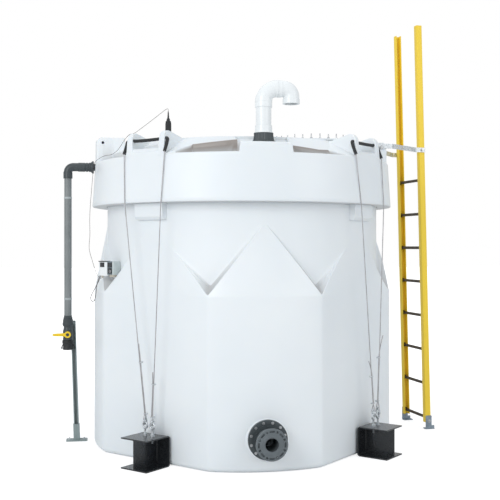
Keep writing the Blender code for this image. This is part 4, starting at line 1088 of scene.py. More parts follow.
def makeSensor():
    # a ribbed body in a nut, a shoulder, and a ringed strain relief that leans with its lead
    place = Matrix.Translation((*sensor["place"], 0))
    height = np.linspace(2.466, 2.596, 20)
    width = np.interp(height, [2.466, 2.588, 2.596], [sensor["radius"], sensor["radius"], 0.0205])
    ribbed = ribbedPost(height, width, 18, 0.035)
    shoulder = lathe([(0, 2.595), (0.0205, 2.595), (0.0215, 2.600), (0.0205, 2.606),
                      (0.014, 2.611), (0.0125, 2.625), (0.0095, 2.630), (0, 2.631)], 36)
    share = np.linspace(0, 1, 60)
    lead = np.stack([sensor["lean"] * share ** 1.5, 0 * share, 2.628 + 0.0554 * share], -1)
    ringed = 0.0078 - 0.0042 * share + 0.0009 * np.sin(share * 2 * np.pi * 7)
    relief = sweep(lead, ringed, 20)
    nut = hexNut(0.030, 2.4665, 2.484)
    seat = lathe([(0, 2.455), (0.050, 2.455), (0.050, 2.464), (0.046, 2.470), (0.030, 2.4705),
                  (0, 2.4705)], 48)
    makePiece("levelSensor", placed(joined(ribbed, shoulder, relief, nut), place), "blackRubber",
              replaces=("level_sensor",))
    makePiece("sensorSeat", placed(seat, place), "mouldedPolyethylene")


def makeSensorWire():
    # a round sheath following the smooth route, a point every 8 mm
    path = evenly(smoothRoute(wireRoute, 8), 0.008)
    shape = sweep(path, 0.0016, 10)
    wire = makePiece("sensorWire", shape, "wireSheath", replaces=("sensor_wire",))


makeSensor()
makeSensorWire()


# Fill line: fitting at the tank, elbow, long pipe, lever valve, cap and post

fill = {"x": -1.470, "z": 2.30, "pipe": 0.0302, "bore": 0.026, "bend": 0.045, "elbow": 0.0345,
        "socket": 0.0375, "valveZ": 0.906, "bands": (2.042, 1.200)}
post = {"radial": 1.399, "across": -0.076, "lean": -0.0316, "half": 0.0205, "wall": 0.0028,
        "lip": 0.0085, "clampReach": 0.071, "clampLow": 0.980, "clampHigh": 1.004}


def makeFillFlange():
    # seen along -X: stub, disc, cone, hexagon, groove and union ring
    def section(*pairs):
        return lathe([(0, pairs[0][1])] + list(pairs) + [(0, pairs[-1][1])], 56)

    plate = section((0.0302, 0.0), (0.0302, 0.0142), (0.050, 0.0142), (0.052, 0.016),
                    (0.052, 0.0262), (0.050, 0.0282), (0.046, 0.029), (0.0405, 0.040),
                    (0.036, 0.041))
    union = section((0.034, 0.040), (0.034, 0.0600), (0.0365, 0.0605), (0.0375, 0.062),
                    (0.0375, 0.0775), (0.0365, 0.0792))
    shape = joined(plate, hexNut(0.0425, 0.0405, 0.0555), union)
    place = standing((-1.2433, 0, fill["z"]), (-1, 0, 0))
    makePiece("fillFlange", placed(shape, place), "darkPipe", replaces=("fill_flange",), angle=28)


def makeFillElbow():
    # straight run, tight bend and drop, with a thicker socket at each end
    path = elbowPath(1.3228, -fill["x"], fill["bend"], fill["z"], 2.205, (30, 40, 30))
    path = path * (-1, 1, 1)
    socket = fill["socket"]
    lower = travelled(path)[-1] - 0.052
    radius = steppedRadius(path, fill["elbow"], [(0.006, 0.062, socket), (lower, 9, socket)])
    makePiece("fillElbow", hollowSweep(path, radius, fill["bore"], 56), "darkPipe",
              replaces=("fill_elbow",))


def makeFillPipe():
    # the pipe is a hair wider under its upper band
    place = Matrix.Translation((fill["x"], 0, 0))
    height = np.linspace(1.031, 2.2047, 60)
    radius = np.where(height > fill["bands"][0], fill["pipe"], fill["pipe"] + 0.0006)
    pipe = placed(hollowSweep(upPath(height), radius, fill["bore"]), place)
    makePiece("fillPipe", pipe, "greyPipe", replaces=("fill_pipe",))
    bands = []
    for middle in fill["bands"]:
        low = middle - 0.008
        high = middle + 0.008
        bands.append(ringLathe([(0.0295, low), (0.0318, low), (0.0324, low + 0.002),
                                (0.0324, high - 0.002), (0.0318, high), (0.0295, high)]))
    makePiece("pipeBands", placed(joined(*bands), place), "bandPlastic")


def makeFillValve():
    # union nuts with grips above and below a round body, and the stem's hub at the front
    place = Matrix.Translation((fill["x"], 0, 0))
    trunk = lathe([(0, 0.8585), (0.040, 0.8585), (0.0415, 0.862), (0.0415, 0.872), (0.039, 0.876),
                   (0.0415, 0.886), (0.0425, 0.906), (0.0415, 0.930), (0.037, 0.948),
                   (0.0355, 0.958), (0.0345, 0.975), (0, 0.975)], 64)
    grip = ribbedPost([0.972, 0.975, 1.027, 1.030], 0.0405 * np.array([0.93, 1, 1, 0.93]), 16, 0.02)
    collar = lathe([(0, 1.028), (0.036, 1.028), (0.0375, 1.031), (0.0375, 1.044), (0.0335, 1.047),
                    (0.0335, 1.060), (0, 1.060)], 64)
    hub = lathe([(0, 0.02), (0.0335, 0.02), (0.0335, 0.044), (0.032, 0.047), (0.029, 0.048),
                 (0.029, 0.0518), (0, 0.0518)], 48)
    hub = placed(hub, standing((0, 0, fill["valveZ"]), facingFront))
    makePiece("fillValve", placed(joined(trunk, grip, collar, hub), place), "darkPipe",
              replaces=("fill_valve",), angle=30)


def makeValveHandle():
    # a ring round the stem and a tapered lever that points away from the tank when closed
    place = Matrix.Translation((fill["x"], -0.052, fill["valveZ"]))
    turned = standing((0, 0, 0), facingFront)
    ring = [(0.0135, 0.0003), (0.0255, 0.0003), (0.0268, 0.002), (0.0268, 0.0195),
            (0.0250, 0.0222), (0.0165, 0.0222), (0.0150, 0.0205), (0.0135, 0.0200)]
    ring = placed(ringLathe(ring, 56), turned)
    edge = [(-0.020, -0.0135), (-0.045, -0.0130), (-0.080, -0.0120), (-0.110, -0.0100),
            (-0.119, -0.0075)]
    outline = edge + [(-0.1245, 0.0)] + [(x, -y) for x, y in edge[::-1]]
    lever = prism(outline, 0.0115, "front", -0.0135)
    ridge = prism([(-0.024, -0.004), (-0.100, -0.003), (-0.100, 0.003), (-0.024, 0.004)], 0.0035,
                  "front", -0.0205)
    makePiece("valveLever", placed(joined(ring, lever, ridge), place), "yellowLever",
              "valve_handle", replaces=("valve_handle",), bevel=0.0015)
    stem = lathe([(0, 0.0004), (0.0132, 0.0004), (0.0132, 0.0165), (0.0118, 0.0180),
                  (0.006, 0.0180), (0.005, 0.0150), (0, 0.0150)], 32)
    makePiece("valveStem", placed(stem, place @ turned), "darkPipe", "valve_handle")


def makeFillCap():
    # a black cap with a wide shoulder, a lower skirt, and an arm with a ring on each side
    place = Matrix.Translation((fill["x"], 0, 0))
    parts = [lathe([(0, 0.7757), (0.040, 0.7757), (0.0425, 0.779), (0.0425, 0.790),
                    (0.0405, 0.795), (0.0415, 0.822), (0.0455, 0.828), (0.0470, 0.833),
                    (0.0470, 0.848), (0.0455, 0.855), (0.040, 0.8577), (0, 0.8577)], 64)]
    outline = [(0.0, 0.842), (0.0, 0.828), (0.012, 0.800), (0.013, 0.786), (0.008, 0.783),
               (0.003, 0.786), (0.003, 0.800), (-0.006, 0.826), (-0.006, 0.842)]
    for side in (-1, 1):
        parts.append(prism([(side * (x + 0.0415), z) for x, z in outline], 0.014, "front"))
        parts.append(placed(washer(0.007, 0.0095, -0.0012, 0.0012, 20),
                            standing((side * 0.054, 0, 0.788), (0, 1, 0))))
    makePiece("fillCap", placed(joined(*parts), place), "blackRubber", replaces=("fill_cap",),
              bevel=0.0012)


def makeFillSupport():
    # a lipped channel open towards -Y, in a sleeve on a foot plate, and a clamp at the top
    place = toAzimuth(270) @ Matrix.Translation((post["across"], -post["radial"], 0))
    lean = Matrix.Identity(4)
    lean[1][2] = post["lean"]
    half = post["half"]
    wall = post["wall"]
    lip = post["lip"]
    outline = [(-half, -half), (half - wall, -half), (half, -half + wall), (half, -half + lip),
               (half - 0.0065, -half + lip), (half - 0.0065, -half + lip - wall),
               (half - wall, -half + wall), (-half + wall, -half + wall)]
    outline += [(x, -y) for x, y in outline[::-1]]
    channel = prism(outline, 1.001, "plan", 0.5095)
    sleeve = roundedBox((-0.026, -0.026, 0.006), (0.026, 0.026, 0.14), 0.004)
    foot = roundedBox((-0.05, -0.088, 0.0), (0.05, 0.088, 0.009), 0.012)
    reach = post["clampReach"]
    low = post["clampLow"]
    high = post["clampHigh"]
    clamp = roundedBox((half - 0.002, -reach - 0.018, low), (0.0397, -reach + 0.02, high), 0.004)
    arm = roundedBox((half - 0.003, -reach + 0.015, low), (half + 0.006, -0.02, high), 0.002)
    shape = joined(placed(channel, lean), placed(sleeve, lean), foot, clamp, arm)
    makePiece("fillPost", placed(shape, place), "postPaint", replaces=("fill_support",),
              bevel=0.0008)
    strap = ringLathe([(0.0412, 0.981), (0.0440, 0.981), (0.0446, 0.985), (0.0446, 0.999),
                       (0.0440, 1.003), (0.0412, 1.003)])
    makePiece("clampStrap", placed(strap, Matrix.Translation((fill["x"], 0, 0))), "darkPipe",
              angle=28)
    anchorBolt = joined(hexNut(0.0105, 0.0105, 0.0185), threadRod(0.006, 0.009, 0.026, 0.0025),
                        washer(0.004, 0.014, 0.009, 0.0107, 16))
    bolts = [placed(anchorBolt, place @ Matrix.Translation((0, y, 0))) for y in (-0.062, 0.062)]
    makePiece("postHardware", joined(*bolts), "galvanisedPlate", angle=28)


makeFillFlange()
makeFillElbow()
makeFillPipe()
makeFillValve()
makeValveHandle()
makeFillCap()
makeFillSupport()
print("fill line ready")


# Outlet: dark flange on the tank, collar, neck and an open grey flange

outlet = {"z": 0.245, "bore": 0.048, "front": 1.47, "holeCircle": 0.0953, "hole": 0.0095,
          "holeDepth": 1.40, "slot": 0.0070, "slotDepth": 1.436, "boltCircle": 0.1266,
          "nutCircle": 0.0985}


def boreFace(piece, degrees, start, radius, sides):
    # a hole on the front flange's bolt circle, from a depth out through its face
    turn = math.radians(degrees)
    across = outlet["holeCircle"] * math.cos(turn)
    height = outlet["z"] + outlet["holeCircle"] * math.sin(turn)
    cutBore(piece, (across, -start, height), (across, -outlet["front"], height), radius, sides)


def makeOutlet():
    # both flanges are turned about -Y; the front one is bored for bolts and slots
    place = standing((0, 0, outlet["z"]), facingFront)
    bore = outlet["bore"]
    rear = [(bore, 1.2563), (0.141, 1.2563), (0.145, 1.259), (0.145, 1.2815), (0.142, 1.2855),
            (0.137, 1.2863), (0.114, 1.2863), (0.1125, 1.2845), (0.110, 1.2845),
            (0.1085, 1.2863), (bore, 1.2863)]
    makePiece("outletRearFlange", placed(ringLathe(rear, 120), place), "darkPipe",
              replaces=("outlet_tank_flange",), angle=28)
    heads = [boltHead(spot, (0.0085, 1.2868, 1.2935), (0.0110, 1.2862, 1.2872), 16)
             for spot in roundSpots(place, outlet["boltCircle"], 12, 15, 0.9)]
    makePiece("outletBolts", joined(*heads), "brightSteel", angle=25)
    inner = [placed(hexNut(0.0075, 1.2860, 1.2930, 0.05), spot)
             for spot in roundSpots(place, outlet["nutCircle"], 12)]
    makePiece("outletInnerNuts", joined(*inner), "darkPipe", angle=25)
    spool = [(bore, 1.2866), (0.082, 1.2866), (0.085, 1.289), (0.085, 1.3060), (0.0825, 1.3086),
             (0.0705, 1.310), (0.0675, 1.313), (0.0665, 1.318), (0.0665, 1.4135), (0.069, 1.4205),
             (0.076, 1.4238), (0.1115, 1.424), (0.1143, 1.4262), (0.1143, 1.4462),
             (0.1120, 1.4485), (0.0735, 1.4485), (0.0715, 1.4500), (0.0545, 1.4500),
             (0.0525, 1.4475), (bore, 1.4460)]
    piece = makePiece("outletSpool", placed(ringLathe(spool, 144), place), "outletPlastic",
                      replaces=("outlet_spool",), angle=28)
    for index in range(8):
        boreFace(piece, 22.5 + 45 * index, outlet["holeDepth"], outlet["hole"], 24)
        for step in (-7.0, -3.5, 0.0, 3.5, 7.0):
            boreFace(piece, 45 * index + step, outlet["slotDepth"], outlet["slot"], 14)
    piece.data.set_sharp_from_angle(angle=math.radians(28))


makeOutlet()
print("outlet ready")


# Tie-downs: channel anchors with eye bolts, wire rope and rubber hose sleeves

tie = {"radial": 1.245, "eyes": 0.036, "ringZ": 0.306, "ringRadius": 0.021, "ringWire": 0.0078,
       "loopZ": 0.3312, "loop": 0.020, "thimble": 0.0172, "thimbleWire": 0.0060,
       "rope": 0.0034, "lay": 0.052, "strands": 6, "strandDepth": 0.09, "tailGap": 0.0090,
       "rimEdgeZ": 1.969, "hose": 0.0125, "hoseBore": 0.0056,
       "offsets": {"front_left": 0.06, "front_right": 0.085, "rear_left": 0.0, "rear_right": 0.0}}
anchor = {"inner": 1.150, "outer": 1.41, "height": 0.23, "plate": 0.010, "bend": 0.022,
          "width": 0.255, "bead": 0.0042, "beadWave": 0.0007}

# for each leg: its lower clip, upper clip and tail's end as heights, and the tail's flare
clips = {"front_left": ((0.390, 0.771, 0.908, 0.0), (0.372, 0.617, 0.706, 0.0)),
         "front_right": ((0.412, 0.623, 0.748, -0.045), (0.419, 0.760, 0.930, 0.052)),
         "rear_left": ((0.412, 0.623, 0.748, -0.03), (0.419, 0.760, 0.930, 0.03)),
         "rear_right": ((0.412, 0.640, 0.760, -0.03), (0.405, 0.740, 0.900, 0.03))}


def cadAzimuth(name):
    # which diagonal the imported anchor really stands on
    low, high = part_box("anchor_" + name)
    middle = (low + high) / 2
    return 45 + 90 * round((math.degrees(math.atan2(middle.x, -middle.y)) - 45) / 90)


def weldBeads(offset):
    # along the gusset's foot, head and back on both sides: r + w sin(1100 s), s in metres
    inner = anchor["inner"]
    plate = anchor["plate"]
    height = anchor["height"]
    run = np.linspace(inner + 0.026, anchor["outer"] - 0.006, 90)
    rise = np.linspace(0.026, height - 0.026, 70)
    beads = []
    for side in (-1, 1):
        across = offset + side * 0.0055
        lines = [(run, -run, np.full(90, level)) for level in (plate, height - plate)]
        lines.append((rise, np.full(70, -inner - plate), rise))
        for along, outward, level in lines:
            line = np.stack([np.full(len(along), across), outward, level], -1)
            beads.append(sweep(line, anchor["bead"] + anchor["beadWave"] * np.sin(along * 1100), 8))
    return joined(*beads)


def eyeBolt(spot, twist):
    # a torus on edge, a socket under it, a threaded shank, two nuts and two washers
    around = np.linspace(0, 2 * np.pi, 48, endpoint=False)[:, None]
    section = np.linspace(0, 2 * np.pi, 14, endpoint=False)[None]
    wide = tie["ringRadius"] + tie["ringWire"] * np.cos(section)
    thick = np.broadcast_to(tie["ringWire"] * np.sin(section), (48, 14))
    grid = np.stack([wide * np.cos(around), thick, tie["ringZ"] + wide * np.sin(around)], -1)
    parts = [gridShape(grid, True, True), threadRod(0.0078, 0.176, 0.262, 0.0030, 14),
             lathe([(0, 0.258), (0.0078, 0.258), (0.0078, 0.276), (0.0105, 0.286), (0.007, 0.291),
                    (0, 0.291)], 20)]
    for low, high in ((0.2320, 0.2450), (0.2055, 0.2185)):
        parts.append(placed(hexNut(0.0150, low, high), Matrix.Rotation(twist, 4, "Z")))
    for low, high in ((0.2300, 0.2322), (0.2183, 0.2202)):
        parts.append(washer(0.0075, 0.0185, low, high, 28))
    return placed(joined(*parts), spot)


def makeAnchor(name):
    # bent channel open outward, a welded gusset, and two eye bolts with nuts and washers
    turn = toAzimuth(cadAzimuth(name))
    offset = tie["offsets"][name]
    inner = anchor["inner"]
    outer = anchor["outer"]
    height = anchor["height"]
    plate = anchor["plate"]
    bend = anchor["bend"]
    low = (inner + bend, bend)
    high = (inner + bend, height - bend)
    outline = np.vstack([[(outer, 0), (outer, plate)], arcPoints(low, bend - plate, 270, 180),
                         arcPoints(high, bend - plate, 180, 90),
                         [(outer, height - plate), (outer, height)],
                         arcPoints(high, bend, 90, 180, 8), arcPoints(low, bend, 180, 270, 8)])
    channel = prism(outline, anchor["width"], "side", offset)
    gusset = boxShape((offset - 0.005, 0.002 - outer, 0.004),
                      (offset + 0.005, -inner - 0.004, height - 0.004))
    makePiece("anchorPlates_" + name, placed(joined(channel, gusset), turn), "blackPaint",
              replaces=("anchor_" + name,), bevel=0.0018, angle=30)
    makePiece("anchorWelds_" + name, placed(weldBeads(offset), turn), "blackPaint", angle=80)
    bolts = [eyeBolt(Matrix.Translation((offset + side * tie["eyes"], -tie["radial"], 0)),
                     side * 0.4) for side in (-1, 1)]
    makePiece("eyeBolts_" + name, placed(joined(*bolts), turn), "galvanisedPlate", angle=30)


def legPoint(name, side, height):
    # the straight leg between the rim's lower edge and the loop over its eye
    offset = tie["offsets"][name]
    edge = np.array([side * 0.183 + 0.15 * offset, -1.2582, tie["rimEdgeZ"]])
    foot = np.array([offset + side * tie["eyes"], -tie["radial"], tie["loopZ"] + 0.02])
    share = (height - foot[2]) / (edge[2] - foot[2])
    return foot + (edge - foot) * share


def hoseRoute():
    # across the notch with a little sag, out of each cheek and down its outer face
    bend = 0.0137
    arm = [(0.1912 + bend * math.sin(math.radians(a)), -1.195 - 0.004 * (a / 90) ** 2,
            2.44 - bend + bend * math.cos(math.radians(a))) for a in range(0, 91, 15)]
    arm += [(0.2049, -1.2035, 2.412), (0.2049, -1.211, 2.390), (0.2049, -1.2220, 2.364),
            (0.2049, -1.2322, 2.340)]
    middle = [(x, -1.195, 2.44 - 0.0042 * (1 - (x / 0.19) ** 2))
              for x in np.linspace(-0.17, 0.17, 13)]
    return np.array([(-x, y, z) for x, y, z in arm[::-1]] + middle + arm)


def eyeLoop(across, radius, start, end, count):
    # an upright arc round the eye: y = -r cos a beyond the eye, z = r sin a above the loop's middle
    return [(across, -tie["radial"] - radius * math.cos(a), tie["loopZ"] + radius * math.sin(a))
            for a in np.radians(np.linspace(start, end, count))]


def ropeLeg(name, side, hose, leg):
    # hose end, rim edge, straight leg, loop round the eye, then the tail back up
    lower, upper, end, flare = leg
    nextIn, hoseEnd = (hose[1], hose[0]) if side < 0 else (hose[-2], hose[-1])
    spread = -side * tie["tailGap"]
    edge = legPoint(name, side, tie["rimEdgeZ"])
    live = [nextIn, hoseEnd, edge * 0.06 + hoseEnd * 0.94, edge]
    live += [legPoint(name, side, z) for z in np.linspace(1.9, lower, 12)]
    loop = eyeLoop(tie["offsets"][name] + side * tie["eyes"], tie["loop"], 35, -215, 22)
    tail = [legPoint(name, side, z) + np.array([spread, 0, 0])
            for z in np.linspace(lower, upper, 8)]
    for share in np.linspace(0.15, 1, 8):
        away = spread + (flare if flare else spread * 0.2) * share ** 1.6
        tail.append(legPoint(name, side, upper + (end - upper) * share)
                    + np.array([away, -0.004 * share, 0]))
    whole = np.vstack([evenly(np.array(live[:4]), 0.004), evenly(np.array(live[3:]), 0.006)[1:],
                       smoothRoute(np.vstack([live[-1:], loop, tail[:1]]), 3)[1:],
                       evenly(smoothRoute(tail, 4), 0.006)[1:]])
    return sweep(whole, tie["rope"], 18, tie["strands"], tie["strandDepth"], tie["lay"])


def thimble(name, side):
    # a teardrop of wire that lines the loop, closed where the two strands meet
    spread = -side * tie["tailGap"]
    across = tie["offsets"][name] + side * tie["eyes"]
    top = legPoint(name, side, tie["loopZ"] + 0.042)
    teardrop = np.vstack([[top + np.array([spread * 0.2, -0.002, 0])],
                          eyeLoop(across, tie["thimble"], 60, -240, 30),
                          [top + np.array([spread * 0.8, 0.002, 0])]])
    return sweep(smoothRoute(teardrop, 3), tie["thimbleWire"], 12)


def ropeClip(place):
    # a saddle behind two strands, a U-bolt round them from the front, and its two nuts
    x, y, z = place
    saddle = roundedBox((x - 0.0165, y + 0.0005, z - 0.0075), (x + 0.0165, y + 0.0105, z + 0.0075),
                        0.003, 2)
    half = 0.0112
    bow = [(x + half * math.cos(a), y - 0.0015 - half * 0.8 * math.sin(a), z)
           for a in np.radians(np.linspace(0, 180, 13))]
    bow = [(x + half, y + 0.020, z)] + bow + [(x - half, y + 0.020, z)]
    nuts = [placed(hexNut(0.0056, 0.0107, 0.0160), standing((x + side * half, y, z), (0, 1, 0)))
            for side in (-1, 1)]
    return joined(saddle, sweep(np.array(bow), 0.0028, 10), *nuts)


def makeRopes(name):
    # a sleeve through both cheeks, and two legs with a thimble and two clips each
    turn = toAzimuth(cadAzimuth(name))
    hose = hoseRoute()
    sleeve = hollowSweep(hose, tie["hose"], tie["hoseBore"], 28)
    makePiece("hoseSleeve_" + name, placed(sleeve, turn), "blackRubber",
              replaces=("hose_" + name,), angle=50)
    ropes = []
    fittings = []
    for side, leg in zip((-1, 1), clips[name]):
        ropes.append(ropeLeg(name, side, hose, leg))
        fittings.append(thimble(name, side))
        middle = np.array([-side * tie["tailGap"] / 2, 0, 0])
        for height in leg[:2]:
            fittings.append(ropeClip(legPoint(name, side, height) + middle))
    makePiece("wireRope_" + name, placed(joined(*ropes), turn), "galvanisedRope",
              replaces=("cable_" + name,), angle=80)
    makePiece("ropeFittings_" + name, placed(joined(*fittings), turn), "galvanisedPlate", angle=32)


for name in tie["offsets"]:
    makeAnchor(name)
    makeRopes(name)
print("tie-downs ready")


# Ladder: channel rails on pivoted feet, rungs with end plates, and two straps to the block

ladder = {"near": Vector((1.694, 0.082, 0)), "far": Vector((1.641, 0.498, 0)), "lean": -0.088,
          "height": 3.615, "half": 0.026, "wall": 0.007, "rungs": 8, "firstRung": 0.101,
          "pitch": 0.3048, "rung": 0.0124}
bracket = {"z": 2.50, "blockY": 0.1953, "blockX": 1.15, "bendX": 1.275, "bend": 0.012,
           "thick": 0.006, "width": 0.041, "railGap": 0.0264, "slotHalf": 0.0062}


def onRail(which, height):
    # the rail's middle leans towards the tank in proportion to the height
    return ladder[which] + Vector((ladder["lean"] * height / ladder["height"], 0, height))


def ladderAcross():
    # the level direction from the near rail to the far one
    return (onRail("far", 0) - onRail("near", 0)).normalized()


def railFrame(which, upright=False):
    # columns: outward from the tank, in towards the other rail, up the rail, and its foot
    across = ladderAcross()
    outward = Vector((across.y, -across.x, 0))
    inward = across if which == "near" else -across
    rise = Vector((0, 0, 1)) if upright else Vector((ladder["lean"] / ladder["height"], 0, 1))
    matrix = Matrix.Identity(4)
    for row in range(3):
        matrix[row][0] = outward[row]
        matrix[row][1] = inward[row]
        matrix[row][2] = rise[row]
        matrix[row][3] = ladder[which][row]
    return matrix


def makeRail(which):
    # a channel with rounded corners, its flanges pointing in
    half = ladder["half"]
    inner = half - ladder["wall"]
    corners = (((-half + 0.005, -half + 0.005), 0.005, 180, 270, 4),
               ((half - 0.005, -half + 0.005), 0.005, 270, 360, 4),
               ((half - 0.002, half - 0.002), 0.002, 0, 90, 2),
               ((inner + 0.002, half - 0.002), 0.002, 90, 180, 2),
               ((inner - 0.003, -inner + 0.003), 0.003, 0, -90, 3),
               ((-inner + 0.003, -inner + 0.003), 0.003, 270, 180, 3),
               ((-inner - 0.002, half - 0.002), 0.002, 0, 90, 2),
               ((-half + 0.002, half - 0.002), 0.002, 90, 180, 2))
    outline = np.vstack([arcPoints(*corner) for corner in corners])
    rail = prism(outline, ladder["height"] - 0.06, "plan", (ladder["height"] + 0.06) / 2)
    makePiece("ladderRail_" + which, placed(rail, railFrame(which)), "yellowFibreglass",
              replaces=("ladder_rail_" + which,), angle=40)


def makeRailFoot(which):
    # an angle plate with a rounded lower corner, a sole with a toe, and a pivot bolt
    half = ladder["half"]
    low = -half - 0.0055
    plate = [(-half - 0.003, 0.013), (-half - 0.003, 0.118), (-half + 0.001, 0.122),
             (half - 0.001, 0.122), (half + 0.003, 0.118), (half + 0.003, 0.020),
             (half - 0.004, 0.010), (half - 0.012, 0.006), (-half + 0.004, 0.006)]
    side = prism(plate, 0.0055, "front", low + 0.0028)
    sole = roundedBox((-half - 0.004, low, 0.0), (half + 0.034, half - 0.004, 0.008), 0.006)
    toe = roundedBox((half - 0.006, low, 0.006), (half + 0.030, low + 0.005, 0.034), 0.002)
    square = railFrame(which, True)
    makePiece("ladderFoot_" + which, placed(joined(side, sole, toe), square), "footSteel",
              bevel=0.0012, angle=35)
    pivot = standing((0.004, low - 0.0005, 0.072), facingFront)
    bolt = boltHead(pivot, (0.0105, 0.001, 0.0075), (0.0145, -0.0005, 0.0012))
    makePiece("footBolt_" + which, placed(bolt, square), "brightSteel", angle=25)


def rungEnd(low, high, outside):
    # a plate with a rivet near each corner, their heads towards the rung's middle
    rivet = lathe([(0, -0.0016), (0.0026, -0.0012), (0.0034, 0), (0.0026, 0.0012), (0, 0.0016)], 8)
    level = (low + high) / 2 - outside * 0.0036 * 0.8
    rivets = [placed(rivet, Matrix.Translation((x, y, level)))
              for x, y in ((-0.009, -0.013), (0.009, 0.013), (-0.009, 0.013), (0.009, -0.013))]
    return joined(roundedBox((-0.0155, -0.0185, low), (0.0155, 0.0185, high), 0.004), *rivets)


def makeRungs():
    # a ribbed round bar between end plates riveted inside the rails
    across = ladderAcross()
    reach = ladder["half"] - ladder["wall"] - 0.0003
    for index in range(ladder["rungs"]):
        height = ladder["firstRung"] + ladder["pitch"] * index
        near = onRail("near", height) - across * reach
        far = onRail("far", height) + across * reach
        length = (far - near).length
        bar = ribbedPost(np.linspace(0, length, 60), ladder["rung"], 20, 0.035, 6)
        shape = joined(bar, rungEnd(0.0002, 0.0045, -1),
                       rungEnd(length - 0.0045, length - 0.0002, 1))
        makePiece("ladderRung_%d" % (index + 1), placed(shape, standing(near, across)),
                  "rungCoating", replaces=("ladder_rung_%d" % (index + 1),),
                  angle=40)


def strapLine(corners):
    # straight stretches, with a quadratic curve round each inner corner
    line = [corners[0]]
    for before, corner, after in zip(corners, corners[1:], corners[2:]):
        start = corner + (before - corner).normalized() * bracket["bend"]
        end = corner + (after - corner).normalized() * bracket["bend"]
        for share in np.linspace(0, 1, 5):
            line.append(start * (1 - share) ** 2 + corner * 2 * share * (1 - share)
                        + end * share ** 2)
    return line + [corners[-1]]


def makeBracket(which):
    # a bent strap with a row of slots, from the block's side to the rail, and its bolts
    side = -1 if which == "near" else 1
    level = bracket["z"]
    thick = bracket["thick"]
    across = ladderAcross()
    outward = Vector((across.y, -across.x, 0))
    rail = onRail(which, level)
    end = rail + across * side * bracket["railGap"] + outward * 0.03
    corners = [Vector((bracket["blockX"], side * bracket["blockY"], level)),
               Vector((bracket["bendX"], side * bracket["blockY"], level)),
               end - outward * 0.095, end]
    line = strapLine(corners)
    front = [(point.x, point.y) for point in line]
    back = [(point.x, point.y + side * thick) for point in line[::-1]]
    strap = prism(front + back, bracket["width"], "plan", level)
    piece = makePiece("ladderStrap_" + which, strap, "galvanisedPlate",
                      replaces=("ladder_bracket_" + which,), angle=30)
    middle = corners[2] - corners[1]
    normal = Vector((-middle.y, middle.x, 0)).normalized() * 0.03
    for share in np.linspace(0.10, 0.92, 6):
        for height in (-0.006, 0.006):
            spot = corners[1] + middle * share + Vector((0, 0, height))
            cutBore(piece, spot - normal, spot + normal, bracket["slotHalf"], 14)
    piece.data.set_sharp_from_angle(angle=math.radians(30))
    face = standing((1.18, side * (bracket["blockY"] + thick), 2.488), (0, side, 0))
    blockBolt = boltHead(face, (0.0125, 0.002, 0.010), (0.017, -0.0005, 0.002))
    face = standing(rail + across * side * (bracket["railGap"] + thick), across * side)
    railBolt = boltHead(face, (0.0125, 0.003, 0.011), (0.019, 0, 0.003), 28)
    makePiece("strapBolts_" + which, joined(blockBolt, railBolt),
              "brightSteel" if which == "near" else "tanSteel", angle=25)


for which in ("near", "far"):
    makeRail(which)
    makeRailFoot(which)
    makeBracket(which)
makeRungs()
print("ladder ready")


# Leak alarm: white box with a window, dark relay beside it, and a pale cover

alarm = {"azimuth": -48, "corner": (-1.1014, -0.5266), "low": 1.406, "high": 1.520}


